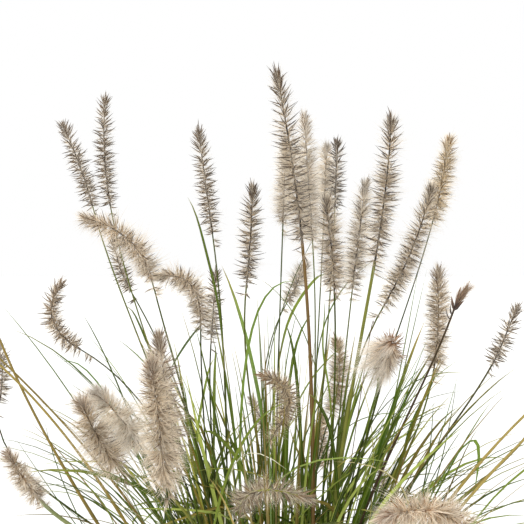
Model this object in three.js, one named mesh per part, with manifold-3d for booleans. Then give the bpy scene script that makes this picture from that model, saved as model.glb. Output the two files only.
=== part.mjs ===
// Potted dwarf fountain grass in flower. Millimetres, +Z up.
// The origin is the middle of the flat underside of the pot.

import * as THREE from "three";
import { mergeVertices } from "three/addons/utils/BufferGeometryUtils.js";
import Module from "manifold-3d";

const wasm = await Module();
wasm.setup();

// Every gap between two pieces that touch on the real plant.
const CLEARANCE = 0.3;

// Pot: a plain round nursery pot with a rolled rim.
const POT_HEIGHT = 240;
const POT_BASE_RADIUS = 106;
const POT_SHOULDER_RADIUS = 130;
const POT_RIM_RADIUS = 140;
const POT_RIM_HEIGHT = 20;
const POT_WALL = 3;
const POT_FLOOR = 4;
const POT_SIDES = 26;
const DRAIN_HOLES = 6;
const DRAIN_HOLE_RADIUS = 7;
const DRAIN_RING_RADIUS = 78;

// Soil: its middle height, how far its top rises and falls, and the lengths of those swells.
const SOIL_TOP = 214;
const SOIL_SWELL = 3;
const SWELL_ACROSS = 23;
const SWELL_ALONG = 19;
const SWELL_SLANT = 61;
const SOIL_RINGS = 3;

// Crowns: the short thick bases that stand in holes in the soil. Roots spread over a share of their radius.
const CROWN_RING_RADIUS = 62;
const CROWN_DEPTH = 22;
const CROWN_RISE = 12;
const CROWN_SIDES = 6;
const CROWN_TOP_SHARE = 0.7;
const ROOT_SINK = 7;
const ROOT_SPREAD = 0.62;
const MIDDLE_ROOT_SPREAD = 0.75;

// Blades: long keeled leaves, narrow at the root, widest before the middle and drawn in to the tip.
const BLADE_STEPS = 4;
const BLADE_KEEL = 1.1;
const BLADE_ROOT_SHARE = 0.4;
const BLADE_WIDEN_RATE = 1.6;
const BLADE_TAPER = 0.55;
const ROOT_ROLL_SHARE = 0.4;
const LINE_SLICES = 6;

// A tuft's blades head for places this far out, and fill this share of half its angle.
const FAN_RADIUS = 330;
const FAN_SHARE = 0.42;

// Culms: the three-sided stalks that carry the spikes. They rise straight for a share of their span, and end in
// line with the spike for another.
const CULM_RADIUS = 1.3;
const CULM_STEPS = 5;
const CULM_INMOST = -0.9;
const CULM_SPACING = 0.4;
const CULM_RISE_SHARE = 0.4;
const CULM_END_SHARE = 0.3;

// Spikes: a slim core with a pointed spikelet on every cell of it.
const CORE_RADIUS = 2.6;
const CORE_NECK_SHARE = 0.6;
const CORE_TAPER = 0.45;
const CORE_SIDES = 4;
const CORE_SHARE = 0.96;
const ROW_PITCH = 12.5;
const ROW_TURN = (1.05 * Math.PI) / CORE_SIDES;
const NECK_SWEEP = 2;
const TIP_SWEEP = 8;

// How far a blade keeps from the middle line of any spike, and how that is looked for.
const SPIKE_CLEAR_RADIUS = 19;
const CLEAR_STEPS = 24;
const CLEAR_TRIES = 60;

const DEGREE = Math.PI / 180;
const GOLDEN_ANGLE = 137.508 * DEGREE;
const GOLDEN_SHARE = 0.618034;
const SILVER_SHARE = 0.754878;

// A habit is what the blades of a tuft have in common: the range that each value is drawn from, and what is lost
// or gained from the inner side of a crown to its outer side. Leans and bends are degrees, rolls are radians.
const OUTER_HABIT = {
  length: [330, 400],
  lengthLoss: 30,
  lean: [1, 6],
  leanGain: 24,
  bend: [10, 30],
  bendGain: 70,
  bow: [-4, 4],
  roll: [-1, 1],
  width: [3.6, 6],
};
const MIDDLE_HABIT = {
  length: [300, 400],
  lengthLoss: 0,
  lean: [0.2, 1.2],
  leanGain: 0,
  bend: [1, 6],
  bendGain: 0,
  bow: [-2, 2],
  roll: [-1.5, 1.5],
  width: [3.4, 5.4],
};
const STRAW_HABIT = {
  length: [300, 400],
  lengthLoss: 0,
  lean: [5, 7],
  leanGain: 26,
  bend: [12, 38],
  bendGain: 0,
  bow: [-1, 1],
  roll: [-1, 1],
  width: [2.6, 3.6],
};

// Each tuft: name, azimuth of its crown and the angle that it may fill in degrees, crown radius, count of
// blades, and the seed of its draws.
const GREEN_TUFTS = [
  ["tuft_01", 94.5, 27, 11, 12, 251],
  ["tuft_02", 121.5, 27, 11, 12, 352],
  ["tuft_03", 148.5, 27, 11, 12, 303],
  ["tuft_04", 175.5, 27, 11, 11, 54],
  ["tuft_05", 215.5, 29, 11, 11, 105],
  ["tuft_06", 244.5, 29, 11, 12, 56],
  ["tuft_07", 285.5, 29, 11, 12, 207],
  ["tuft_08", 314.5, 29, 11, 10, 108],
  ["tuft_09", 355.7, 29, 11, 12, 209],
  ["tuft_10", 25, 29, 11, 12, 360],
  ["tuft_11", 54.3, 29, 11, 12, 11],
];
const STRAW_TUFTS = [
  ["straw_1", 75, 12, 6, 7, 481],
  ["straw_2", 195, 12, 6, 5, 132],
  ["straw_3", 265, 12, 6, 7, 233],
  ["straw_4", 335, 12, 6, 5, 134],
];
const MIDDLE_TUFT = ["tuft_middle", 0, 360, 20, 16, 121];

// Each flower spike: the tuft that carries it, its neck, middle and tip, and how far its spikelets reach.
const SPIKES = [
  ["tuft_04", [-188, 20, 700], [-204, 32, 744], [-226, 44, 792], 11.5],
  ["tuft_04", [-174, 46, 702], [-182, 56, 762], [-182, 64, 824], 11.5],
  ["tuft_05", [-116, -78, 626], [-136, -96, 664], [-176, -112, 682], 13.5],
  ["tuft_03", [-160, 96, 612], [-172, 104, 636], [-182, 112, 668], 11],
  ["tuft_03", [-66, 28, 672], [-74, 36, 728], [-82, 42, 786], 11.5],
  ["tuft_middle", [-30, -24, 622], [-26, -34, 668], [-24, -44, 718], 13],
  ["tuft_04", [-76, -6, 582], [-86, -22, 622], [-118, -40, 628], 13],
  ["tuft_03", [-68, 44, 564], [-66, 52, 598], [-64, 58, 634], 11],
  ["tuft_08", [20, -118, 662], [10, -136, 734], [-4, -150, 808], 14.5],
  ["tuft_11", [38, 48, 666], [34, 60, 736], [30, 72, 806], 12.5],
  ["tuft_01", [8, 92, 686], [10, 102, 734], [12, 112, 782], 12],
  ["tuft_11", [64, 80, 702], [66, 88, 740], [68, 94, 776], 11.5],
  ["tuft_11", [56, 126, 716], [58, 136, 748], [60, 144, 778], 11],
  ["tuft_08", [54, -42, 616], [50, -54, 660], [44, -66, 704], 13],
  ["tuft_08", [88, -84, 644], [96, -98, 710], [100, -110, 776], 13.5],
  ["tuft_10", [168, 66, 688], [182, 84, 736], [192, 100, 782], 12],
  ["tuft_09", [106, -8, 600], [134, -18, 660], [150, -28, 718], 14],
  ["straw_2", [-188, -46, 560], [-212, -58, 590], [-200, -66, 626], 13],
  ["tuft_10", [78, 26, 616], [86, 36, 674], [94, 44, 730], 13],
  ["tuft_01", [14, 130, 598], [26, 140, 620], [34, 148, 640], 13],
  ["tuft_09", [158, 6, 536], [164, 14, 586], [164, 22, 638], 15],
  ["tuft_08", [154, -112, 600], [158, -116, 610], [164, -122, 620], 8],
  ["tuft_09", [216, 0, 542], [228, 6, 564], [244, 12, 600], 12],
  ["tuft_08", [90, -140, 554], [88, -176, 570], [86, -212, 582], 17],
  ["tuft_06", [-86, -246, 476], [-90, -262, 528], [-94, -276, 574], 17],
  ["tuft_06", [-84, -190, 484], [-90, -202, 538], [-96, -212, 588], 14],
  ["tuft_05", [-138, -146, 470], [-152, -160, 498], [-164, -172, 530], 16],
  ["tuft_05", [-122, -110, 480], [-138, -120, 506], [-158, -130, 530], 16],
  ["straw_3", [-4, -96, 488], [8, -116, 526], [-18, -132, 546], 13],
  ["tuft_11", [60, 84, 478], [70, 92, 520], [66, 98, 560], 12],
  ["straw_1", [60, 176, 402], [56, 186, 430], [56, 194, 458], 12],
  ["straw_3", [-32, -200, 448], [-16, -214, 466], [24, -228, 462], 13],
  ["tuft_07", [130, -296, 456], [98, -314, 476], [60, -330, 474], 18],
  ["tuft_11", [132, 196, 366], [132, 210, 380], [130, 224, 398], 14],
  ["tuft_05", [-206, -140, 442], [-214, -156, 462], [-224, -172, 488], 15],
  ["tuft_04", [-286, 30, 498], [-284, 34, 530], [-290, 40, 556], 12],
  ["straw_4", [246, -116, 546], [254, -124, 582], [266, -134, 614], 12],
  ["tuft_01", [-6, 186, 422], [-16, 196, 452], [-28, 208, 478], 12],
  ["tuft_02", [-130, 196, 460], [-140, 210, 494], [-154, 222, 532], 12],
];

// Last year's bare stalks, and the long blades that stand out: the tuft, the middle and the tip of each, and the
// width of a blade.
const DRY_STALKS = [
  ["straw_2", [-135, -29, 397], [-300, -64, 590]],
  ["straw_2", [-185, -53, 420], [-262, -75, 585]],
  ["straw_2", [-160, -58, 425], [-262, -95, 560]],
  ["straw_4", [168, -64, 431], [300, -115, 576]],
  ["straw_4", [160, -88, 414], [290, -160, 570]],
];
const LONG_BLADES = [
  ["tuft_04", [-160, 8, 430], [-280, 10, 602], 5],
  ["tuft_05", [-130, -58, 465], [-240, -107, 585], 5],
  ["tuft_middle", [-14, 5, 480], [-56, 12, 640], 6],
  ["tuft_08", [84, -62, 420], [132, -92, 590], 8],
  ["tuft_08", [96, -66, 400], [148, -92, 560], 7],
];

// Park and Miller's generator: each call gives the next draw between low and high.
function drawsFrom(seed) {
  const modulus = 2147483647;
  let state = (seed * 48271) % modulus;
  return (low, high) => {
    state = (state * 16807) % modulus;
    return low + ((high - low) * state) / modulus;
  };
}

function polar(radius, azimuth, z) {
  return new THREE.Vector3(radius * Math.cos(azimuth), radius * Math.sin(azimuth), z);
}

function materialOf(color, roughness) {
  return new THREE.MeshStandardMaterial({ color, roughness, metalness: 0, flatShading: true });
}

function geometryOf(points, triangles) {
  const geometry = new THREE.BufferGeometry();
  const coordinates = points.flatMap((point) => [point.x, point.y, point.z]);
  geometry.setAttribute("position", new THREE.Float32BufferAttribute(coordinates, 3));
  geometry.setIndex(triangles.flat());
  return geometry;
}

// A closed skin over sections of equal point count, whose last section may be a single point.
function skinOver(sections) {
  const count = sections[0].length;
  const triangles = [];
  for (let row = 0; row + 1 < sections.length; row += 1) {
    const lower = row * count;
    const upper = lower + count;
    for (let side = 0; side < count; side += 1) {
      const next = (side + 1) % count;
      if (sections[row + 1].length === 1) {
        triangles.push([lower + side, lower + next, upper]);
      } else {
        triangles.push([lower + side, lower + next, upper + next]);
        triangles.push([lower + side, upper + next, upper + side]);
      }
    }
  }
  for (let side = 1; side + 1 < count; side += 1) {
    triangles.push([0, side + 1, side]);
    if (sections.at(-1).length === count) {
      const top = (sections.length - 1) * count;
      triangles.push([top, top + side, top + side + 1]);
    }
  }
  return geometryOf(sections.flat(), triangles);
}

function solidFrom(geometry) {
  const bare = geometry.clone();
  bare.deleteAttribute("normal");
  bare.deleteAttribute("uv");
  const merged = mergeVertices(bare);
  return new wasm.Manifold(new wasm.Mesh({
    numProp: 3,
    vertProperties: new Float32Array(merged.attributes.position.array),
    triVerts: new Uint32Array(merged.index.array),
  }));
}

// The largest body of a fused solid, which leaves out scraps and sealed hollows.
function geometryFrom(solid) {
  const bodies = solid.decompose();
  const largest = bodies.reduce((best, body) => (body.volume() > best.volume() ? body : best));
  const mesh = largest.getMesh();
  const geometry = new THREE.BufferGeometry();
  geometry.setAttribute("position", new THREE.BufferAttribute(mesh.vertProperties, 3));
  geometry.setIndex(new THREE.BufferAttribute(mesh.triVerts, 1));
  return geometry;
}

function fuse(geometries) {
  return geometries.map(solidFrom).reduce((whole, solid) => whole.add(solid));
}

// Two unit vectors across each heading of a line, carried along it with no twist. The first starts near a side.
function framesAlong(headings, side) {
  let level = side;
  return headings.map((heading) => {
    const rising = new THREE.Vector3().crossVectors(heading, level).normalize();
    level = new THREE.Vector3().crossVectors(rising, heading).normalize();
    return [level, rising];
  });
}

// A level unit vector across the way from one place to another.
function sideOf(from, to) {
  return polar(1, Math.atan2(to.y - from.y, to.x - from.x) + Math.PI / 2, 0);
}

function ringAround(centre, [level, rising], radius, sides, turn) {
  const ring = [];
  for (let side = 0; side < sides; side += 1) {
    const angle = turn + (side * 2 * Math.PI) / sides;
    ring.push(centre.clone()
      .addScaledVector(level, radius * Math.cos(angle))
      .addScaledVector(rising, radius * Math.sin(angle)));
  }
  return ring;
}

const LEVEL_FRAME = [new THREE.Vector3(1, 0, 0), new THREE.Vector3(0, 1, 0)];

// Pot

function potGeometry() {
  const shoulder = POT_HEIGHT - POT_RIM_HEIGHT;
  const profile = [
    [0, 0],
    [POT_BASE_RADIUS - 2, 0],
    [POT_BASE_RADIUS, 2],
    [POT_SHOULDER_RADIUS, shoulder],
    [POT_RIM_RADIUS - 2, shoulder],
    [POT_RIM_RADIUS, shoulder + 2],
    [POT_RIM_RADIUS, POT_HEIGHT - 2],
    [POT_RIM_RADIUS - 2, POT_HEIGHT],
    [POT_SHOULDER_RADIUS + 2, POT_HEIGHT],
    [POT_SHOULDER_RADIUS, POT_HEIGHT - 2],
    [POT_BASE_RADIUS - POT_WALL, POT_FLOOR],
    [0, POT_FLOOR],
  ].map(([radius, z]) => new THREE.Vector2(radius, z));
  const body = new THREE.LatheGeometry(profile, POT_SIDES);
  body.rotateX(Math.PI / 2);
  let solid = solidFrom(body);
  for (let hole = 0; hole < DRAIN_HOLES; hole += 1) {
    const drill = new THREE.CylinderGeometry(DRAIN_HOLE_RADIUS, DRAIN_HOLE_RADIUS, 4 * POT_FLOOR, 8);
    drill.rotateX(Math.PI / 2);
    const place = polar(DRAIN_RING_RADIUS, (hole * 2 * Math.PI) / DRAIN_HOLES, 0);
    drill.translate(place.x, place.y, place.z);
    solid = solid.subtract(solidFrom(drill));
  }
  return geometryFrom(solid);
}

// Radius of the pot's inside at a height.
function potInside(z) {
  const share = (z - POT_FLOOR) / (POT_HEIGHT - 2 - POT_FLOOR);
  return THREE.MathUtils.lerp(POT_BASE_RADIUS - POT_WALL, POT_SHOULDER_RADIUS, share);
}

// Soil

function soilHeight(x, y) {
  return SOIL_TOP + SOIL_SWELL * Math.sin(x / SWELL_ACROSS + 1) * Math.cos(y / SWELL_ALONG - x / SWELL_SLANT);
}

function soilGeometry() {
  const sections = [];
  const floor = POT_FLOOR + CLEARANCE;
  const turnOf = (side) => (side * 2 * Math.PI) / POT_SIDES;
  const edgeAt = (z) => potInside(z) * Math.cos(Math.PI / POT_SIDES) - CLEARANCE;
  const sides = [...Array(POT_SIDES).keys()];
  sections.push(sides.map((side) => polar(edgeAt(floor), turnOf(side), floor)));
  for (let ring = SOIL_RINGS; ring > 0; ring -= 1) {
    const radius = (edgeAt(SOIL_TOP - SOIL_SWELL) * ring) / SOIL_RINGS;
    sections.push(sides.map((side) => {
      const point = polar(radius, turnOf(side), 0);
      point.z = soilHeight(point.x, point.y);
      return point;
    }));
  }
  sections.push([new THREE.Vector3(0, 0, soilHeight(0, 0))]);
  let solid = solidFrom(skinOver(sections));
  for (const tuft of ALL_TUFTS) {
    const hole = plugGeometry(tuft, CLEARANCE, 3 * CROWN_RISE);
    solid = solid.subtract(solidFrom(hole));
  }
  return geometryFrom(solid);
}

// Crowns

function crownCentre([name, azimuth]) {
  const radius = name === "tuft_middle" ? 0 : CROWN_RING_RADIUS;
  return polar(radius, azimuth * DEGREE, SOIL_TOP);
}

// A straight plug on a crown's place, wider and deeper by a margin, up to a height over the soil.
function plugGeometry(tuft, margin, rise) {
  const centre = crownCentre(tuft);
  const radius = tuft[3] + margin;
  const bottom = centre.clone().setZ(SOIL_TOP - CROWN_DEPTH - margin);
  const top = centre.clone().setZ(SOIL_TOP + rise);
  return skinOver([
    ringAround(bottom, LEVEL_FRAME, radius, CROWN_SIDES, 0),
    ringAround(top, LEVEL_FRAME, radius, CROWN_SIDES, 0),
  ]);
}

// The crown rounds off above the soil.
function crownGeometry(tuft) {
  const centre = crownCentre(tuft);
  const rings = [[-CROWN_DEPTH, 1], [CROWN_RISE / 2, 1], [CROWN_RISE, CROWN_TOP_SHARE]];
  return skinOver(rings.map(([z, share]) => {
    const place = centre.clone().setZ(SOIL_TOP + z);
    return ringAround(place, LEVEL_FRAME, tuft[3] * share, CROWN_SIDES, 0);
  }));
}

// A root's place on an outer crown. Outness goes from -1 to 1 away from the pot's middle, and aside from -1 to 1
// across that.
function rootPlace(tuft, outness, aside) {
  const azimuth = tuft[1] * DEGREE;
  const spread = tuft[3] * ROOT_SPREAD;
  return crownCentre(tuft)
    .add(polar(outness * spread, azimuth, CROWN_RISE - ROOT_SINK))
    .add(polar(aside * spread, azimuth + Math.PI / 2, 0));
}

// Place of the nth root of a count on the middle crown, spread evenly like seeds in a flower head.
function middleRoot(tuft, index, count) {
  const radius = tuft[3] * MIDDLE_ROOT_SPREAD * Math.sqrt((index + 0.5) / count);
  return crownCentre(tuft).add(polar(radius, index * GOLDEN_ANGLE, CROWN_RISE - ROOT_SINK));
}

// A curve from a start through a middle to an end.
function curveThrough(start, middle, end) {
  const [through, last] = [middle, end].map((place) => new THREE.Vector3(...place));
  const control = through.clone().multiplyScalar(2).addScaledVector(start, -0.5).addScaledVector(last, -0.5);
  return new THREE.QuadraticBezierCurve3(start, control, last);
}

// Spikes

function spikeCurve([, neck, middle, tip]) {
  return curveThrough(new THREE.Vector3(...neck), middle, tip);
}

// Share of the full reach along a spike: short at the neck, full in the middle and drawn in to the tip.
function reachShare(along) {
  return 0.72 + 0.5 * along - 0.85 * along ** 3;
}

// A slim core whose every triangle is raised to a pointed spikelet.
function spikeGeometry(spike, seed) {
  const draw = drawsFrom(seed);
  const curve = spikeCurve(spike);
  const fullReach = spike[4];
  const rows = Math.max(2, Math.round(curve.getLength() / ROW_PITCH));
  const shares = [...Array(rows + 1).keys()].map((row) => row / rows);
  const frames = framesAlong(shares.map((along) => curve.getTangent(along)), sideOf(curve.v0, curve.v2));
  const points = shares.flatMap((along, row) => {
    const radius = CORE_RADIUS * (row === 0 ? CORE_NECK_SHARE : 1 - CORE_TAPER * along);
    return ringAround(curve.getPoint(along * CORE_SHARE), frames[row], radius, CORE_SIDES, row * ROW_TURN);
  });
  const triangles = [];
  const raise = (a, b, c, along) => {
    const place = new THREE.Vector3().add(points[a]).add(points[b]).add(points[c]).divideScalar(3);
    const heading = curve.getTangent(along);
    const outward = place.clone().sub(curve.getPoint(along * CORE_SHARE));
    outward.addScaledVector(heading, -outward.dot(heading)).normalize();
    const reach = fullReach * reachShare(along) * draw(0.85, 1.12);
    const sweep = (NECK_SWEEP + TIP_SWEEP * along * along) * draw(0.8, 1.2);
    const peak = points.push(place.addScaledVector(outward, reach).addScaledVector(heading, sweep)) - 1;
    triangles.push([a, b, peak], [b, c, peak], [c, a, peak]);
  };
  for (let row = 0; row < rows; row += 1) {
    for (let side = 0; side < CORE_SIDES; side += 1) {
      const lower = row * CORE_SIDES;
      const upper = lower + CORE_SIDES;
      const next = (side + 1) % CORE_SIDES;
      raise(lower + side, lower + next, upper + side, (row + 0.33) / rows);
      raise(lower + next, upper + next, upper + side, (row + 0.67) / rows);
    }
  }
  const last = rows * CORE_SIDES;
  const end = points.push(curve.getPoint(1)) - 1;
  for (let side = 0; side < CORE_SIDES; side += 1) {
    triangles.push([last + side, last + ((side + 1) % CORE_SIDES), end]);
  }
  for (let side = 1; side + 1 < CORE_SIDES; side += 1) {
    triangles.push([0, side + 1, side]);
  }
  return geometryOf(points, triangles);
}

// Culms

// The root of what heads for a place: on the crown's side towards it, further out for each later one.
function rootTowards(tuft, place, index) {
  if (tuft === MIDDLE_TUFT) {
    return middleRoot(tuft, 0, 1);
  }
  const [, azimuth, spread] = tuft;
  const turn = Math.atan2(place.y, place.x) / DEGREE - azimuth;
  const aside = (turn - 360 * Math.round(turn / 360)) / spread;
  return rootPlace(tuft, CULM_INMOST + CULM_SPACING * index, aside);
}

// A culm leaves its crown upright and meets the neck of its spike in line with it.
function culmCurve(tuft, spike, index) {
  const curve = spikeCurve(spike);
  const heading = curve.getTangent(0);
  const end = curve.getPoint(0).addScaledVector(heading, -CLEARANCE);
  const root = rootTowards(tuft, end, index);
  const span = root.distanceTo(end);
  const first = root.clone().add(new THREE.Vector3(0, 0, span * CULM_RISE_SHARE));
  const second = end.clone().addScaledVector(heading, -span * CULM_END_SHARE);
  return new THREE.CubicBezierCurve3(root, first, second, end);
}

function stalkGeometry(curve) {
  const shares = [...Array(CULM_STEPS + 1).keys()].map((step) => step / CULM_STEPS);
  const side = sideOf(curve.getPoint(0), curve.getPoint(1));
  const frames = framesAlong(shares.map((along) => curve.getTangent(along)), side);
  return skinOver(shares.map((along, step) => (
    ringAround(curve.getPoint(along), frames[step], CULM_RADIUS, 3, 0)
  )));
}

// Blades

// Share of the full width at a place along a blade.
function bladeShare(along) {
  const widening = Math.sin((Math.PI * Math.min(1, along * BLADE_WIDEN_RATE)) / 2);
  return BLADE_ROOT_SHARE + (1 - BLADE_ROOT_SHARE) * widening - BLADE_TAPER * along ** 3;
}

// The middle line of a blade. It follows the blade's curve, or leaves the root at its lean and bends over more and
// more.
function bladeLine(blade, steps) {
  if (blade.curve) {
    return blade.curve.getPoints(steps);
  }
  const points = [];
  const place = blade.root.clone();
  const side = polar(1, blade.azimuth + Math.PI / 2, 0);
  for (let step = 0; step <= steps; step += 1) {
    const along = step / steps;
    points.push(place.clone().addScaledVector(side, blade.bow * Math.sin(Math.PI * along)));
    for (let slice = 0; slice < LINE_SLICES; slice += 1) {
      const here = (step + (slice + 0.5) / LINE_SLICES) / steps;
      const lean = blade.lean + blade.bend * here ** 1.5;
      const stride = blade.length / steps / LINE_SLICES;
      place.add(polar(stride * Math.sin(lean), blade.azimuth, stride * Math.cos(lean)));
    }
  }
  return points;
}

function bladeGeometry(blade) {
  const line = bladeLine(blade, BLADE_STEPS);
  const headings = line.slice(0, -1).map((place, step) => (
    line[step + 1].clone().sub(line[Math.max(0, step - 1)]).normalize()
  ));
  const frames = framesAlong(headings, polar(1, blade.azimuth + Math.PI / 2, 0));
  const sections = frames.map(([level, rising], step) => {
    const along = step / BLADE_STEPS;
    const roll = blade.roll * THREE.MathUtils.lerp(ROOT_ROLL_SHARE, 1, along);
    const flat = level.clone().multiplyScalar(Math.cos(roll)).addScaledVector(rising, Math.sin(roll));
    const keel = level.clone().multiplyScalar(Math.sin(roll)).addScaledVector(rising, -Math.cos(roll));
    const half = (blade.width * bladeShare(along)) / 2;
    return [
      line[step].clone().addScaledVector(flat, half),
      line[step].clone().addScaledVector(flat, -half),
      line[step].clone().addScaledVector(keel, BLADE_KEEL),
    ];
  });
  sections.push([line.at(-1)]);
  return skinOver(sections);
}

const SPIKE_LINES = SPIKES.map((spike) => spikeCurve(spike).getPoints(8));

// Whether a blade keeps clear of every spike, seen at close places along it.
function keepsClear(blade) {
  return bladeLine(blade, CLEAR_STEPS).every((place) => SPIKE_LINES.every((line) => (
    line.every((other) => place.distanceTo(other) > SPIKE_CLEAR_RADIUS)
  )));
}

// A root and the azimuth of the blade on it. The blades fan out from their crown, so that they seldom cross.
function fannedRoot(tuft, outness, aside) {
  const [, azimuth, spread] = tuft;
  const root = rootPlace(tuft, outness, aside);
  const heading = polar(FAN_RADIUS, (azimuth + FAN_SHARE * aside * spread) * DEGREE, root.z).sub(root);
  return { root, azimuth: Math.atan2(heading.y, heading.x) };
}

// What a habit gives a blade that stands at an outness from 0 to 1.
function habitOf(habit, outness, draw) {
  return {
    length: draw(...habit.length) - habit.lengthLoss * outness,
    lean: (draw(...habit.lean) + habit.leanGain * outness) * DEGREE,
    bend: (draw(...habit.bend) + habit.bendGain * outness) * DEGREE,
    bow: draw(...habit.bow),
    roll: draw(...habit.roll),
    width: draw(...habit.width),
  };
}

// One blade of an outer tuft. Blades from the inner side of a crown stand up, and those outside arch over.
function outerBlade(tuft, index, seed) {
  const draw = drawsFrom(seed);
  const outness = (index * GOLDEN_SHARE + 0.15) % 1;
  const aside = 2 * ((index * SILVER_SHARE + 0.3) % 1) - 1 + draw(-0.3, 0.3);
  const place = fannedRoot(tuft, 2 * outness - 1, THREE.MathUtils.clamp(aside, -1, 1));
  return { ...place, ...habitOf(OUTER_HABIT, outness, draw) };
}

// One blade of the middle tuft, nearly upright.
function middleBlade(tuft, index, seed) {
  const place = { root: middleRoot(tuft, index, tuft[4]), azimuth: index * GOLDEN_ANGLE };
  return { ...place, ...habitOf(MIDDLE_HABIT, 0, drawsFrom(seed)) };
}

// One dry blade, stiff and leaning well out.
function strawBlade(tuft, index, seed) {
  const draw = drawsFrom(seed);
  const outness = (index + draw(0.2, 0.8)) / tuft[4];
  const aside = 2 * ((index * SILVER_SHARE + draw(0, 0.4)) % 1) - 1;
  return { ...fannedRoot(tuft, 2 * outness - 1, aside), ...habitOf(STRAW_HABIT, outness, draw) };
}

// Draws a blade again until it keeps clear of the spikes.
function clearBlade(make, tuft, index) {
  const seed = tuft[5] * 1000 + index * 7;
  for (let attempt = 0; attempt < CLEAR_TRIES; attempt += 1) {
    const blade = make(tuft, index, seed + attempt * 101);
    if (keepsClear(blade)) {
      return blade;
    }
  }
  return null;
}

// A long blade through its given middle to its given tip, with its flat side up.
function longBlade(tuft, [, middle, tip, width], index) {
  const root = rootTowards(tuft, { x: tip[0], y: tip[1] }, index);
  const azimuth = Math.atan2(tip[1] - root.y, tip[0] - root.x);
  return { curve: curveThrough(root, middle, tip), azimuth, width, roll: 0 };
}

function tuftGeometry(tuft, make) {
  const [name, , , , count] = tuft;
  const ofTuft = ([tuftName]) => tuftName === name;
  const parts = [crownGeometry(tuft)];
  for (let index = 0; index < count; index += 1) {
    const blade = clearBlade(make, tuft, index);
    if (blade) {
      parts.push(bladeGeometry(blade));
    }
  }
  const carried = SPIKES.filter(ofTuft);
  carried.forEach((spike, index) => {
    parts.push(stalkGeometry(culmCurve(tuft, spike, index)));
  });
  DRY_STALKS.filter(ofTuft).forEach(([, middle, tip], index) => {
    const root = rootTowards(tuft, { x: tip[0], y: tip[1] }, carried.length + index);
    parts.push(stalkGeometry(curveThrough(root, middle, tip)));
  });
  LONG_BLADES.filter(ofTuft).forEach((entry, index) => {
    parts.push(bladeGeometry(longBlade(tuft, entry, carried.length + index)));
  });
  return geometryFrom(fuse(parts));
}

const ALL_TUFTS = [...GREEN_TUFTS, ...STRAW_TUFTS, MIDDLE_TUFT];

// The whole plant in its pot

const group = new THREE.Group();

function addPiece(name, geometry, material) {
  const mesh = new THREE.Mesh(geometry, material);
  mesh.name = name;
  group.add(mesh);
}

addPiece("pot", potGeometry(), materialOf("#34363a", 0.55));
addPiece("soil", soilGeometry(), materialOf("#33271c", 0.95));
GREEN_TUFTS.forEach((tuft) => {
  addPiece(tuft[0], tuftGeometry(tuft, outerBlade), materialOf("#4a7327", 0.6));
});
addPiece(MIDDLE_TUFT[0], tuftGeometry(MIDDLE_TUFT, middleBlade), materialOf("#55802c", 0.6));
STRAW_TUFTS.forEach((tuft) => {
  addPiece(tuft[0], tuftGeometry(tuft, strawBlade), materialOf("#bda25c", 0.7));
});
SPIKES.forEach((spike, index) => {
  const name = `spike_${String(index + 1).padStart(2, "0")}`;
  addPiece(name, spikeGeometry(spike, index + 1), materialOf("#a8957c", 0.85));
});

export default group;
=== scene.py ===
import math
from collections import namedtuple

import bpy
import numpy as np
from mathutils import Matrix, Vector, noise


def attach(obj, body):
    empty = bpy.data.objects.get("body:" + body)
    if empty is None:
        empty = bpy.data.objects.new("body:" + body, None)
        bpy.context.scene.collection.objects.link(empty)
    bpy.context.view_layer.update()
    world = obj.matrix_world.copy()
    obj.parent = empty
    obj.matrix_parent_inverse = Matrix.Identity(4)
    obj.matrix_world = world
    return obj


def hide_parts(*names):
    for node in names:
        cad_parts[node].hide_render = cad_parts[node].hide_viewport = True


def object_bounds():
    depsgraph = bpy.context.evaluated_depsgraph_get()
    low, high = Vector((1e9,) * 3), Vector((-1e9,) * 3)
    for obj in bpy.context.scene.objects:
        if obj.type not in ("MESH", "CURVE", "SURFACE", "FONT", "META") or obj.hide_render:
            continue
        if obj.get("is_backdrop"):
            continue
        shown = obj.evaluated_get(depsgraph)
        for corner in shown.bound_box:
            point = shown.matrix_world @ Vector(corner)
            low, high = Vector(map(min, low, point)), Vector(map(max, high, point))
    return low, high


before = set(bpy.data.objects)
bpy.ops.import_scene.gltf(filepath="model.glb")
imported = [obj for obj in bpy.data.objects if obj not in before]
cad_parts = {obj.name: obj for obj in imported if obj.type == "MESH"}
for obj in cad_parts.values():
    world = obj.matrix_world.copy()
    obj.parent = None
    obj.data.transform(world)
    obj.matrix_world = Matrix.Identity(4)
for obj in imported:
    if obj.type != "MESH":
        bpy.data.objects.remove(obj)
cad_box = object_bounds()

# Potted dwarf fountain grass in flower. Lengths are in millimetres, and add_piece turns them to metres.
MM = 0.001
DEGREE = math.pi / 180
GOLDEN_ANGLE = 137.508 * DEGREE
GOLDEN_SHARE = 0.618034
SILVER_SHARE = 0.754878
X_AXIS, Y_AXIS, UP = np.eye(3)

# Pot and soil, as in the solids
POT_HEIGHT = 240
POT_BASE_RADIUS = 106
POT_SHOULDER_RADIUS = 130
POT_RIM_RADIUS = 140
POT_RIM_HEIGHT = 20
POT_WALL = 3
POT_FLOOR = 4
DRAIN_HOLES = 6
DRAIN_HOLE_RADIUS = 7
DRAIN_RING_RADIUS = 78
SOIL_TOP = 214
SOIL_SWELL = 3

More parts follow.
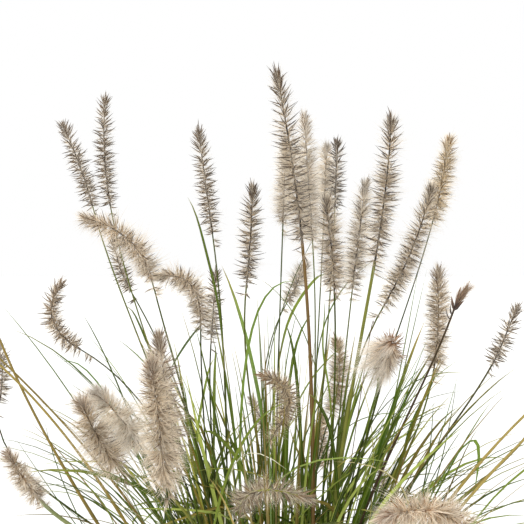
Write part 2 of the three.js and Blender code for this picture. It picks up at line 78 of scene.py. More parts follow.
# Crowns, blades, culms and spikes, as in the solids
CLEARANCE = 0.3
CROWN_RING_RADIUS = 62
CROWN_DEPTH = 22
CROWN_RISE = 12
CROWN_TOP_SHARE = 0.7
ROOT_SINK = 7
ROOT_SPREAD = 0.62
MIDDLE_ROOT_SPREAD = 0.75
FAN_RADIUS = 330
FAN_SHARE = 0.42
CULM_RADIUS = 1.3
CULM_INMOST = -0.9
CULM_SPACING = 0.4
CULM_RISE_SHARE = 0.4
CULM_END_SHARE = 0.3
BLADE_ROOT_SHARE = 0.4
BLADE_WIDEN_RATE = 1.6
BLADE_TAPER = 0.55
ROOT_ROLL_SHARE = 0.4
SPIKE_CLEAR_RADIUS = 19
CLEAR_SPIKE_POINTS = 9
CLEAR_STEPS = 24
CLEAR_TRIES = 60
TUFT_SEED_STEP = 1000
BLADE_SEED_STEP = 7
TRY_SEED_STEP = 101
LOOSE_SEED_STEP = 50
PAINT_SEED_STEP = 7
OUTNESS_START = 0.15
ASIDE_START = 0.3
ASIDE_STRAY = 0.3

# Ranges that each value of a blade is drawn from, and its change from inner to outer side of a crown.
# Leans and bends are degrees, rolls are radians.
OUTER_HABIT = dict(
    length=(330, 400), length_loss=30, lean=(1, 6), lean_gain=24, bend=(10, 30), bend_gain=70,
    bow=(-4, 4), roll=(-1, 1), width=(3.6, 6),
)
MIDDLE_HABIT = dict(
    length=(300, 400), length_loss=0, lean=(0.2, 1.2), lean_gain=0, bend=(1, 6), bend_gain=0,
    bow=(-2, 2), roll=(-1.5, 1.5), width=(3.4, 5.4),
)
STRAW_HABIT = dict(
    length=(300, 400), length_loss=0, lean=(5, 7), lean_gain=26, bend=(12, 38), bend_gain=0,
    bow=(-1, 1), roll=(-1, 1), width=(2.6, 3.6),
)

# A tuft fills its spread, in degrees. Its radius is its crown's, and its blades are those in the solid. A
# spike's axis runs through three places, and its reach is that of its spikelets. A single blade or bare
# stalk has its root stated only where it isn't on the crown.
Tuft = namedtuple("Tuft", "name azimuth spread radius blades seed")
Spike = namedtuple("Spike", "tuft neck middle tip reach tone fluff")
Single = namedtuple("Single", "tuft middle tip width roll colour root", defaults=[None] * 4)

GREEN_TUFTS = [Tuft(*row) for row in (
    ("tuft_01", 94.5, 27, 11, 12, 251),
    ("tuft_02", 121.5, 27, 11, 12, 352),
    ("tuft_03", 148.5, 27, 11, 12, 303),
    ("tuft_04", 175.5, 27, 11, 11, 54),
    ("tuft_05", 215.5, 29, 11, 11, 105),
    ("tuft_06", 244.5, 29, 11, 12, 56),
    ("tuft_07", 285.5, 29, 11, 12, 207),
    ("tuft_08", 314.5, 29, 11, 10, 108),
    ("tuft_09", 355.7, 29, 11, 12, 209),
    ("tuft_10", 25, 29, 11, 12, 360),
    ("tuft_11", 54.3, 29, 11, 12, 11),
)]
STRAW_TUFTS = [Tuft(*row) for row in (
    ("straw_1", 75, 12, 6, 7, 481),
    ("straw_2", 195, 12, 6, 5, 132),
    ("straw_3", 265, 12, 6, 7, 233),
    ("straw_4", 335, 12, 6, 5, 134),
)]
MIDDLE_TUFT = Tuft("tuft_middle", 0, 360, 20, 16, 121)

SPIKES = [Spike(*row) for row in (
    ("tuft_04", (-188, 20, 700), (-204, 32, 744), (-226, 44, 792), 12.5, "taupe", 0.8),
    ("tuft_04", (-174, 46, 702), (-182, 56, 762), (-182, 64, 824), 12.5, "taupe", 0.8),
    ("tuft_05", (-116, -78, 626), (-136, -96, 664), (-176, -112, 682), 16.5, "tawny", 1.8),
    ("tuft_03", (-160, 96, 612), (-172, 104, 636), (-182, 112, 668), 13, "taupe", 1.1),
    ("tuft_03", (-66, 28, 672), (-74, 36, 728), (-82, 42, 786), 12.5, "taupe", 0.8),
    ("tuft_middle", (-30, -24, 622), (-26, -34, 668), (-24, -44, 718), 14, "umber", 1.1),
    ("tuft_04", (-76, -6, 582), (-86, -22, 622), (-118, -40, 628), 16, "tawny", 1.7),
    ("tuft_03", (-68, 44, 564), (-66, 52, 598), (-64, 58, 634), 12.5, "taupe", 0.8),
    ("tuft_08", (20, -118, 662), (10, -136, 734), (-4, -150, 808), 16, "umber", 1.3),
    ("tuft_11", (38, 48, 666), (34, 60, 736), (30, 72, 806), 17, "pale", 2),
    ("tuft_01", (8, 92, 686), (10, 102, 734), (12, 112, 782), 15.5, "pale", 1.9),
    ("tuft_11", (64, 80, 702), (66, 88, 740), (68, 94, 776), 13, "grey", 0.9),
    ("tuft_11", (56, 126, 716), (58, 136, 748), (60, 144, 778), 15.5, "ivory", 2.3),
    ("tuft_08", (54, -42, 616), (50, -54, 660), (44, -66, 704), 16.5, "umber", 1.7),
    ("tuft_08", (88, -84, 644), (96, -98, 710), (100, -110, 776), 16, "umber", 1.5),
    ("tuft_10", (168, 66, 688), (182, 84, 736), (192, 100, 782), 16, "gold", 1.6),
    ("tuft_09", (106, -8, 600), (134, -18, 660), (150, -28, 718), 16.5, "umber", 1.6),
    ("straw_2", (-188, -46, 560), (-212, -58, 590), (-200, -66, 626), 13.5, "tawny", 1.3),
    ("tuft_10", (78, 26, 616), (86, 36, 674), (94, 44, 730), 16.5, "taupe", 1.7),
    ("tuft_01", (14, 130, 598), (26, 140, 620), (34, 148, 640), 15.5, "taupe", 1.8),
    ("tuft_09", (158, 6, 536), (164, 14, 586), (164, 22, 638), 17, "tawny", 1.7),
    ("tuft_08", (154, -112, 600), (158, -116, 610), (164, -122, 620), 8, "brown", 0),
    ("tuft_09", (216, 0, 542), (228, 6, 564), (244, 12, 600), 12.5, "taupe", 0.8),
    ("tuft_08", (90, -140, 554), (88, -176, 570), (86, -212, 582), 18.5, "blond", 1.6),
    ("tuft_06", (-86, -246, 476), (-90, -262, 528), (-94, -276, 574), 18, "dun", 2.2),
    ("tuft_06", (-84, -190, 484), (-90, -202, 538), (-96, -212, 588), 16, "tawny", 1.4),
    ("tuft_05", (-138, -146, 470), (-152, -160, 498), (-164, -172, 530), 21.5, "dun", 2.1),
    ("tuft_05", (-122, -110, 480), (-138, -120, 506), (-158, -130, 530), 22.5, "ivory", 2.3),
    ("straw_3", (-4, -96, 488), (8, -116, 526), (-18, -132, 546), 13, "gold", 1.2),
    ("tuft_11", (60, 84, 478), (70, 92, 520), (66, 98, 560), 16, "gold", 1.6),
    ("straw_1", (60, 176, 402), (56, 186, 430), (56, 194, 458), 17, "gold", 1.6),
    ("straw_3", (-32, -200, 448), (-16, -214, 466), (24, -228, 462), 13.5, "green", 1),
    ("tuft_07", (130, -296, 456), (98, -314, 476), (60, -330, 474), 18, "peach", 2.3),
    ("tuft_11", (132, 196, 366), (132, 210, 380), (130, 224, 398), 14, "taupe", 1.2),
    ("tuft_05", (-206, -140, 442), (-214, -156, 462), (-224, -172, 488), 13.5, "cream", 1.8),
    ("tuft_04", (-286, 30, 498), (-284, 34, 530), (-290, 40, 556), 12, "taupe", 1),
    ("straw_4", (246, -116, 546), (254, -124, 582), (266, -134, 614), 12, "taupe", 0.8),
    ("tuft_01", (-6, 186, 422), (-16, 196, 452), (-28, 208, 478), 12, "pale", 1.3),
    ("tuft_02", (-130, 196, 460), (-140, 210, 494), (-154, 222, 532), 12, "taupe", 0.9),
)]

# Last year's bare stalks, and the long blades
DRY_STALKS = [Single(*row) for row in (
    ("straw_2", (-135, -29, 397), (-300, -64, 590)),
    ("straw_2", (-185, -53, 420), (-262, -75, 585)),
    ("straw_2", (-160, -58, 425), (-262, -95, 560)),
    ("straw_4", (168, -64, 431), (300, -115, 576)),
    ("straw_4", (160, -88, 414), (290, -160, 570)),
)]
LONG_BLADES = [Single(*row) for row in (
    ("tuft_04", (-160, 8, 430), (-280, 10, 602), 5, 0.5, "#4a6216"),
    ("tuft_05", (-130, -58, 465), (-240, -107, 585), 5, 0.3, "#4a6216"),
    ("tuft_middle", (-14, 5, 480), (-56, 12, 640), 6, 1.3, "#7f9a4e"),
    ("tuft_08", (84, -62, 420), (132, -92, 590), 8, 1.1, "#3f5a10"),
    ("tuft_08", (96, -66, 400), (148, -92, 560), 7, 0.9, "#6b6a24"),
)]

# Single blades that only the fine pieces have. The last one is a culm's leaf. On one crown, each later
# one's root is less far out and aside.
FINE_OUT = 0.8
FINE_OUT_LOSS = 0.3
FINE_ASIDE = 0.9
FINE_ASIDE_LOSS = 0.45
FINE_BLADES = [Single(*row) for row in (
    ("tuft_07", (21, -55, 481), (7, -35, 583), 4.5, 0.3, "#44560e"),
    ("tuft_06", (-33, -20, 527), (17, -10, 624), 3, 0.2, "#6d8636"),
    ("tuft_middle", (2, 0, 450), (22, 0, 599), 3, 0.5, "#4f6414"),
    ("tuft_07", (8, -40, 482), (35, -20, 593), 3.4, 0.4, "#55691a"),
    ("tuft_06", (-46, -120, 441), (6, -170, 472), 2.0, 0.6, "#ece8d8"),
    ("tuft_07", (-15, -120, 428), (100, -160, 475), 3.2, 0.9, "#84944a"),
    ("tuft_09", (124, -60, 401), (43, -150, 475), 1.8, 0.8, "#d3c596"),
    ("tuft_08", (96, -90, 409), (121, -110, 493), 4.6, 0.3, "#75602a"),
    ("tuft_09", (130, -20, 371), (151, -30, 514), 5, 0.3, "#4a5f12"),
    ("tuft_09", (143, 0, 375), (180, 0, 530), 2.6, 0.3, "#4f6220"),
    ("tuft_09", (130, -30, 393), (177, -40, 483), 3, 0.3, "#4a5f12"),
    ("tuft_08", (89, -50, 446), (137, -60, 546), 4, 0.3, "#55701c"),
    ("tuft_08", (96, -60, 448), (163, -90, 492), 1.3, 0.5, "#b9bd8a"),
    ("tuft_08", (88, -60, 420), (68, -60, 553), 2, 0.4, "#b2a84e"),
    ("tuft_05", (-125, -60, 462), (-184, -60, 596), 5.5, 0.2, "#3f5212"),
    ("tuft_05", (-136, -80, 480), (-197, -90, 552), 4, 0.4, "#5e7a30"),
    ("tuft_04", (-174, -20, 356), (-224, -40, 494), 4.5, 0.2, "#3c4d10"),
    ("tuft_04", (-162, -30, 345), (-249, -60, 483), 3, 0.3, "#44560e"),
    ("tuft_04", (-126, -10, 437), (-228, -20, 560), 2.6, 0.3, "#4f6220"),
    ("tuft_08", (78, -60, 522), (89, -62, 580), 2.4, 0.6, "#6b4a2a"),
    ("tuft_10", (107, 38, 422), (151, 50, 643), 2.6, 0.3, "#74883f"),
    ("tuft_10", (108, 42, 420), (160, 56, 637), 2.4, 0.3, "#67793a"),
    ("tuft_09", (95, -15, 404), (146, -30, 571), 4.5, 0.3, "#5d7f28"),
    ("tuft_09", (124, -25, 372), (173, -40, 536), 3.6, 0.3, "#5f7f26"),
    ("tuft_09", (166, -50, 455), (180, -75, 428), 5.2, 0.4, "#67802a"),
    ("tuft_04", (-90, -15, 561), (-104, -30, 538), 6.5, 0.2, "#4a5f2a", (-76, 0, 580)),
)]

# The blades that the fine pieces add to each tuft by a rule, and how much of a solid's blade width they keep
EXTRA_GREEN = 31
EXTRA_MIDDLE = 16
EXTRA_STRAW = 4
SLIMMING = (0.4, 0.85)

# Blades of the fine pieces: how their bend and sway grow, how late they are drawn in to a point, the depth
# of their groove as a share of half their width, their keel at the root and what it loses to the tip, and
# the chances that an added one leans inward, is folded over or is a wisp
BLADE_STEPS = 14
BEND_POWER = 1.5
SWAY_HALF_WAVES = 2.6
POINT_POWER = 12
GROOVE_SHARE = 0.3
KEEL_DEPTH = 0.55
KEEL_LOSS = 0.3
INWARD_CHANCE = 0.4
INWARD_BEND_SHARE = 0.7
KINK_CHANCE = 0.2
WISP_CHANCE = 0.18
WISP_WIDTH = 1.5

# Culms of the fine pieces: the stretch that each joint stands in, its reach, swelling and darkening, and the
# sheath and leaf above it. All but the sheath's thickness are shares.
CULM_STEPS = 22
CULM_SIDES = 8
CULM_JOINTS = [(0.16, 0.24), (0.42, 0.52)]
JOINT_REACH = 0.014
JOINT_SWELL = 0.45
JOINT_DARKENING = 0.45
SHEATH_SHARE = 0.16
SHEATH_THICKNESS = 0.25
CULM_LEAF_SHARE = 0.15
CULM_LEAF_CHANCE = 0.6

# Crowns of the fine pieces, with their cut stubs
CROWN_SIDES = 24
CROWN_SLIMMING = 0.96
CROWN_SHADE = 0.45
STUBS = 14


# Seeded draws, the same as those of the solids
def draws_from(seed):
    modulus = 2147483647
    state = seed * 48271 % modulus

    def draw(low, high):
        nonlocal state
        state = state * 16807 % modulus
        return low + (high - low) * state / modulus

    return draw


def polar(radius, azimuth, z=0.0):
    return np.array([radius * math.cos(azimuth), radius * math.sin(azimuth), z])


def unit(vectors):
    return vectors / np.linalg.norm(vectors, axis=-1, keepdims=True)


def mixed(first, second, shares):
    """What lies between the first, at share 0, and the second, at share 1."""
    return first + (second - first) * shares[..., None]


def turned(first, second, angles):
    """Directions turned from the first towards the second by the angles."""
    return first * np.cos(angles)[..., None] + second * np.sin(angles)[..., None]


def even_turns(count):
    return np.arange(count) * 2 * math.pi / count


def linear(code):
    """The linear colour of a #rrggbb code."""
    values = np.array([int(code[i:i + 2], 16) for i in (1, 3, 5)]) / 255
    return np.where(values <= 0.04045, values / 12.92, ((values + 0.055) / 1.055) ** 2.4)


# Meshes

class Heap:
    """Points and triangles of many small bodies. Each point has a colour and a place across and along."""

    def __init__(self):
        self.points, self.triangles, self.colours, self.places = [], [], [], []
        self.count = 0

    def add(self, points, triangles, colours, places):
        self.points.append(points)
        self.triangles.append(triangles + self.count)
        self.colours.append(np.broadcast_to(colours, points.shape))
        self.places.append(places)
        self.count += len(points)


def add_piece(node, heap, material, slot, sharp_turn=40):
    """The fine piece that stands for a node. Its edges are sharp where they turn by more than an angle."""
    points = np.concatenate(heap.points) * MM
    triangles = np.concatenate(heap.triangles)
    mesh = bpy.data.meshes.new(f"{node}_fine")
    mesh.vertices.add(len(points))
    mesh.vertices.foreach_set("co", points.ravel())
    mesh.loops.add(triangles.size)
    mesh.loops.foreach_set("vertex_index", triangles.ravel().astype(np.int32))
    mesh.polygons.add(len(triangles))
    mesh.polygons.foreach_set("loop_start", np.arange(0, triangles.size, 3, dtype=np.int32))
    mesh.update(calc_edges=True)
    tint = mesh.attributes.new("tint", "FLOAT_COLOR", "POINT")
    tint.data.foreach_set("color", np.insert(np.concatenate(heap.colours), 3, 1, axis=1).ravel())
    place = mesh.attributes.new("place", "FLOAT_VECTOR", "POINT")
    place.data.foreach_set("vector", np.concatenate(heap.places).ravel())
    mesh.shade_smooth()
    mesh.set_sharp_from_angle(angle=sharp_turn * DEGREE)
    mesh.materials.append(material)
    piece = bpy.data.objects.new(f"{node}_fine", mesh)
    bpy.context.scene.collection.objects.link(piece)
    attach(piece, "root")
    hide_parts(node)
    return piece


def tube_triangles(rings, sides, tip):
    """Triangles over rings of points, capped at the start, and at the end too or closed to a tip point."""
    triangles = []
    for ring in range(rings - 1):
        for side in range(sides):
            lower, upper = ring * sides, (ring + 1) * sides
            after = (side + 1) % sides
            triangles.append((lower + side, lower + after, upper + after))
            triangles.append((lower + side, upper + after, upper + side))
    last = (rings - 1) * sides
    for side in range(1, sides - 1):
        triangles.append((0, side + 1, side))
        if not tip:
            triangles.append((last, last + side, last + side + 1))
    if tip:
        for side in range(sides):
            triangles.append((last + side, last + (side + 1) % sides, rings * sides))
    return np.array(triangles)


def lathe(profile, sides):
    """A body turned about the Z axis, from a profile that ends on the axis. Its start is closed flat."""
    rings = [polar(radius, turn, z) for radius, z in profile[:-1] for turn in even_turns(sides)]
    points = np.array(rings + [polar(0, 0, profile[-1][1])])
    return points, tube_triangles(len(profile) - 1, sides, True)


def frames_along(headings, side):
    """Two unit vectors across each heading of a line, carried along it with no twist."""
    levels, risings = [], []
    level = side
    for heading in headings:
        rising = unit(np.cross(heading, level))
        level = unit(np.cross(rising, heading))
        levels.append(level)
        risings.append(rising)
    return np.array(levels), np.array(risings)


def side_of(start, end):
    return polar(1, math.atan2(end[1] - start[1], end[0] - start[0]) + math.pi / 2)


def blended(places, t):
    """The mean of places, weighted as a curve's control points are at the shares t."""
    last = len(places) - 1
    return sum(math.comb(last, i) * (1 - t) ** (last - i) * t ** i * place for i, place in enumerate(places))


def bezier(controls, shares):
    """Points and headings on a curve of three or four control points."""
    t = np.asarray(shares)[:, None]
    return blended(np.array(controls, float), t), unit(blended(np.diff(controls, axis=0), t))


def add_tube(heap, points, headings, radii, sides, colours, side):
    """A round tube of varying radius along a line, with a colour for each point of it or one for all."""
    levels, risings = frames_along(headings, side)
    angles = even_turns(sides)
    rings = points[:, None] + turned(levels[:, None], risings[:, None], angles) * radii[:, None, None]
    run = np.append(0, np.cumsum(np.linalg.norm(np.diff(points, axis=0), axis=1)))
    places = np.stack(np.broadcast_arrays(np.cos(angles), run[:, None], 0.0), axis=2)
    heap.add(
        rings.reshape(-1, 3),
        tube_triangles(len(points), sides, False),
        np.repeat(np.broadcast_to(colours, points.shape), sides, axis=0),
        places.reshape(-1, 3),
    )


def add_needles(heap, roots, aims, lengths, widths, bends, profile, sides, low, high):
    """Many slim pointed bodies. The profile lists how far along each ring is, and its share of the width."""
    across = unit(np.cross(aims, np.where(np.abs(aims[:, 2:]) < 0.9, UP, X_AXIS)))
    outward = turned(across[:, None], np.cross(aims, across)[:, None], even_turns(sides))
    along = np.array([place for place, _ in profile] + [1.0])
    reach = along[:, None] * lengths[:, None, None]
    spines = roots[:, None] + aims[:, None] * reach + bends[:, None] * reach * along[:, None]
    rings = [
        spines[:, index, None] + outward * widths[:, None, None] * share / 2
        for index, (_, share) in enumerate(profile)
    ]
    body = np.concatenate(rings + [spines[:, -1:]], axis=1)
    starts = np.arange(len(roots)) * body.shape[1]
    triangles = tube_triangles(len(profile), sides, True) + starts[:, None, None]
    shares = np.append(np.repeat(along[:-1], sides), 1.0)
    low, high = (np.broadcast_to(colour, roots.shape)[:, None] for colour in (low, high))
    places = np.zeros_like(body)
    places[:, :, 1] = shares
    colours = mixed(low, high, shares)
    heap.add(*(rows.reshape(-1, 3) for rows in (body, triangles, colours, places)))


# Crowns and roots

def crown_centre(tuft):
    radius = 0 if tuft is MIDDLE_TUFT else CROWN_RING_RADIUS
    return polar(radius, tuft.azimuth * DEGREE, SOIL_TOP)


def root_place(tuft, outness, aside):
    azimuth = tuft.azimuth * DEGREE
    reach = tuft.radius * ROOT_SPREAD
    return (
        crown_centre(tuft)
        + polar(outness * reach, azimuth, CROWN_RISE - ROOT_SINK)
        + polar(aside * reach, azimuth + math.pi / 2)
    )


def middle_root(tuft, index, count):
    radius = tuft.radius * MIDDLE_ROOT_SPREAD * math.sqrt((index + 0.5) / count)
    return crown_centre(tuft) + polar(radius, index * GOLDEN_ANGLE, CROWN_RISE - ROOT_SINK)


def root_towards(tuft, place, index):
    """The root of what heads for a place: on the crown's side towards it, further out for each later one."""
    if tuft is MIDDLE_TUFT:
        return middle_root(tuft, 0, 1)
    turn = math.atan2(place[1], place[0]) / DEGREE - tuft.azimuth
    aside = (turn - 360 * round(turn / 360)) / tuft.spread
    return root_place(tuft, CULM_INMOST + CULM_SPACING * index, aside)


# Lines of spikes, culms and stalks, as the control points of their curves

def controls_through(start, middle, end):
    start, middle, end = (np.array(place, float) for place in (start, middle, end))
    return start, 2 * middle - (start + end) / 2, end


def spike_controls(spike):
    return controls_through(spike.neck, spike.middle, spike.tip)


def culm_controls(tuft, spike, index):
    neck, control, _ = spike_controls(spike)
    heading = unit(control - neck)
    end = neck - heading * CLEARANCE
    root = root_towards(tuft, end, index)
    span = np.linalg.norm(end - root)
    return root, root + UP * span * CULM_RISE_SHARE, end - heading * span * CULM_END_SHARE, end


SPIKE_LINES = np.concatenate([
    bezier(spike_controls(spike), np.linspace(0, 1, CLEAR_SPIKE_POINTS))[0] for spike in SPIKES
])


# Blades

def blade_line(blade, steps, slices=6):
    along = np.linspace(0, 1, steps + 1)
    if "controls" in blade:
        return bezier(blade["controls"], along)[0]
    count = steps * slices
    here = (np.arange(count) + 0.5) / count
    lean = blade["lean"] + blade["bend"] * here ** BEND_POWER
    lean = lean + blade.get("kink", 0) * (here > blade.get("kink_at", 1))
    stride = blade["length"] / count
    out, rise = (np.append(0, np.cumsum(stride * part(lean)))[::slices] for part in (np.sin, np.cos))
    sway = blade.get("sway", 0) * np.sin(SWAY_HALF_WAVES * math.pi * along) * along
    bow = blade["bow"] * np.sin(math.pi * along) + sway
    return (
        blade["root"]
        + out[:, None] * polar(1, blade["azimuth"])
        + rise[:, None] * UP
        + bow[:, None] * polar(1, blade["azimuth"] + math.pi / 2)
    )


def keeps_clear(blade):
    gaps = blade_line(blade, CLEAR_STEPS)[:, None] - SPIKE_LINES[None]
    return np.linalg.norm(gaps, axis=2).min() > SPIKE_CLEAR_RADIUS


def fanned_root(tuft, outness, aside):
    root = root_place(tuft, outness, aside)
    azimuth = (tuft.azimuth + FAN_SHARE * aside * tuft.spread) * DEGREE
    heading = polar(FAN_RADIUS, azimuth, root[2]) - root
    return {"root": root, "azimuth": math.atan2(heading[1], heading[0])}


def habit_of(habit, outness, draw):
    return dict(
        length=draw(*habit["length"]) - habit["length_loss"] * outness,
        lean=(draw(*habit["lean"]) + habit["lean_gain"] * outness) * DEGREE,
        bend=(draw(*habit["bend"]) + habit["bend_gain"] * outness) * DEGREE,
        bow=draw(*habit["bow"]),
        roll=draw(*habit["roll"]),
        width=draw(*habit["width"]),
    )


def outer_blade(tuft, index, seed):
    draw = draws_from(seed)
    outness = (index * GOLDEN_SHARE + OUTNESS_START) % 1
    aside = 2 * ((index * SILVER_SHARE + ASIDE_START) % 1) - 1 + draw(-ASIDE_STRAY, ASIDE_STRAY)
    place = fanned_root(tuft, 2 * outness - 1, min(1, max(-1, aside)))
    return {**place, **habit_of(OUTER_HABIT, outness, draw)}


def middle_blade(tuft, index, seed):
    root = middle_root(tuft, index % tuft.blades, tuft.blades)
    habit = habit_of(MIDDLE_HABIT, 0, draws_from(seed))
    return {"root": root, "azimuth": index * GOLDEN_ANGLE, **habit}


def straw_blade(tuft, index, seed):
    draw = draws_from(seed)
    outness = (index % tuft.blades + draw(0.2, 0.8)) / tuft.blades
    aside = 2 * ((index * SILVER_SHARE + draw(0, 0.4)) % 1) - 1
    return {**fanned_root(tuft, 2 * outness - 1, aside), **habit_of(STRAW_HABIT, outness, draw)}


def loosened(blade, draw):
    """A blade of the fine piece alone: shorter and less orderly than the solid's, and some are wisps."""
    blade["azimuth"] += draw(-60, 60) * DEGREE
    blade["length"] *= draw(0.5, 0.95)
    blade["width"] *= draw(0.6, 1.15)
    blade["lean"] = blade["lean"] * draw(0.4, 1) + draw(0, 8) * DEGREE
    blade["bend"] = draw(10, 150) * DEGREE
    blade["bow"] += draw(-30, 30)
    blade["sway"] = draw(-14, 14)
    if draw(0, 1) < INWARD_CHANCE:
        blade["azimuth"] += math.pi
        blade["lean"] = draw(4, 26) * DEGREE
        blade["bend"] *= INWARD_BEND_SHARE
    if draw(0, 1) < KINK_CHANCE:
        blade["kink_at"] = draw(0.5, 0.85)
        blade["kink"] = draw(30, 100) * DEGREE
    if draw(0, 1) < WISP_CHANCE:
        blade["width"] = draw(0.9, 1.4)
        blade["bend"] = draw(60, 170) * DEGREE
    return blade


def clear_blade(make, tuft, index, loosen):
    """The first blade of a row of seeds that keeps clear of all spikes, or none."""
    first = tuft.seed * TUFT_SEED_STEP + index * BLADE_SEED_STEP
    for seed in range(first, first + CLEAR_TRIES * TRY_SEED_STEP, TRY_SEED_STEP):
        blade = make(tuft, index, seed)
        if loosen:
            blade = loosened(blade, draws_from(seed + LOOSE_SEED_STEP))
        if keeps_clear(blade):
            return blade
    return None


def long_blade(tuft, entry, index):
    root = root_towards(tuft, entry.tip, index)
    azimuth = math.atan2(entry.tip[1] - root[1], entry.tip[0] - root[0])
    controls = controls_through(root, entry.middle, entry.tip)
    return {"controls": controls, "azimuth": azimuth, "width": entry.width, "roll": entry.roll}


def fine_blade(tuft, entry, index):
    """A single blade of the fine piece, rooted on the crown at a place of its own, or on a culm."""
    on_crown = root_place(tuft, FINE_OUT - FINE_OUT_LOSS * index, FINE_ASIDE - FINE_ASIDE_LOSS * index)
    controls = controls_through(entry.root or on_crown, entry.middle, entry.tip)
    return {**long_blade(tuft, entry, 0), "controls": controls}


def blade_share(along):
    widening = np.sin(math.pi * np.minimum(1, along * BLADE_WIDEN_RATE) / 2)
    return BLADE_ROOT_SHARE + (1 - BLADE_ROOT_SHARE) * widening - BLADE_TAPER * along ** 3


def add_blade(heap, blade, low, high, tip):
    """A channelled blade: two edges, a groove on top and a keel below, drawn in to a long point."""
    line = blade_line(blade, BLADE_STEPS)
    headings = unit(np.gradient(line, axis=0))
    levels, risings = frames_along(headings, polar(1, blade["azimuth"] + math.pi / 2))
    along = np.linspace(0, 1, BLADE_STEPS + 1)
    roll = blade["roll"] * (ROOT_ROLL_SHARE + (1 - ROOT_ROLL_SHARE) * along)
    half = (blade["width"] * blade_share(along) * (1 - along ** POINT_POWER) / 2)[:, None]
    flat, above = turned(levels, risings, roll) * half, turned(risings, -levels, roll)
    raised = line + above * half * GROOVE_SHARE
    keel = line - above * (KEEL_DEPTH - KEEL_LOSS * along)[:, None]
    rings = np.stack([raised + flat, line, raised - flat, keel], axis=1)[:-1]
    points = np.concatenate([rings.reshape(-1, 3), line[-1:]])
    share = np.append(np.repeat(along[:-1], 4), 1.0)
    colours = mixed(low, high, share)
    colours = mixed(colours, tip, np.interp(share, *BLADE_TIP_COLOURING) ** 2)
    colours = mixed(colours, ROOT_COLOUR, np.interp(share, *BLADE_ROOT_COLOURING))
    places = np.zeros_like(points)
    places[:-1, 0] = np.tile([1, 0, -1, 0], BLADE_STEPS)
    places[:, 1] = share * np.linalg.norm(line[-1] - line[0])
    heap.add(points, tube_triangles(BLADE_STEPS, 4, True), colours, places)


# Colours of the parts of the plant
ROOT_COLOUR = linear("#b8a878")
GREENS = [linear(code) for code in (
    "#384809", "#42550d", "#4f6314", "#627624", "#7a8a36", "#95a050", "#56681f", "#a09f48", "#7a6a2c",
)]
WISPS = [linear(code) for code in ("#8b9c6c", "#a3ae7e", "#6f8450", "#c0bc90")]
TIPS = [linear(code) for code in ("#6b7a28", "#8f9a4a", "#b3ad5e", "#c2a35a")]
STRAWS = [linear(code) for code in ("#a99354", "#b19c5e", "#947f48", "#ae9f70", "#7a6940")]
CULM_GREENS = [linear(code) for code in ("#414b1c", "#4e5724", "#636a30", "#39421b")]

# How much of its tip's or root's colour a blade or culm has, by the share of the way along
BLADE_TIP_COLOURING = ([0.74, 1], [0, 1])
BLADE_ROOT_COLOURING = ([0, 0.16], [0.75, 0])
CULM_ROOT_COLOURING = ([0, 0.14], [0.7, 0])

# The looks of a spike. The root and tip are those of its spikelets, and the crest is what spikelets and
# bristles turn to at its top.
Tone = namedtuple("Tone", "root tip bristle_root bristle_tip rachis crest")
TONES = {
    "taupe": ("#745f44", "#3f3222", "#f3e6d0", "#fefaf1", "#3a3123", "#6b5337"),
    "umber": ("#544029", "#2d2115", "#e2d0b3", "#faf1e0", "#2c2318", "#573e22"),
    "dun": ("#8a6f4e", "#5f4931", "#d6c2a1", "#f9efdd", "#54402b", "#82522a"),
    "blond": ("#9a7248", "#624a32", "#e8cca0", "#fffcf4", "#7a5a3c", "#cf9a60"),
    "grey": ("#574a3a", "#33291f", "#ebe0ce", "#fbf5ea", "#2c261c", "#57432d"),
    "pale": ("#9c866a", "#67533c", "#f7ecd8", "#fffbf3", "#5f4c35", "#806545"),
    "ivory": ("#c6ae8b", "#a58b67", "#fdf2de", "#fffcf4", "#745d3b", "#734f2c"),
    "gold": ("#80653c", "#4d3a20", "#ecd8b0", "#fdf1da", "#4a3c22", "#8a6232"),
    "tawny": ("#806646", "#4c3a26", "#ecdabd", "#fdf4e4", "#463626", "#7d5f3d"),
    "cream": ("#a08462", "#7a6044", "#dac6a6", "#fff8ea", "#6d5338", "#7e502c"),
    "peach": ("#b08c62", "#96724c", "#ecd6b4", "#fff8ea", "#80603f", "#a5683a"),
    "green": ("#8a7550", "#5c4a35", "#e4d6ba", "#fff7e6", "#8f9138", "#8a7048"),
    "brown": ("#35251b", "#7d5f48", "#8a6c52", "#d6c2a8", "#3f2c20", "#5d4332"),
}
TONES = {name: Tone(*map(linear, codes)) for name, codes in TONES.items()}


# Materials

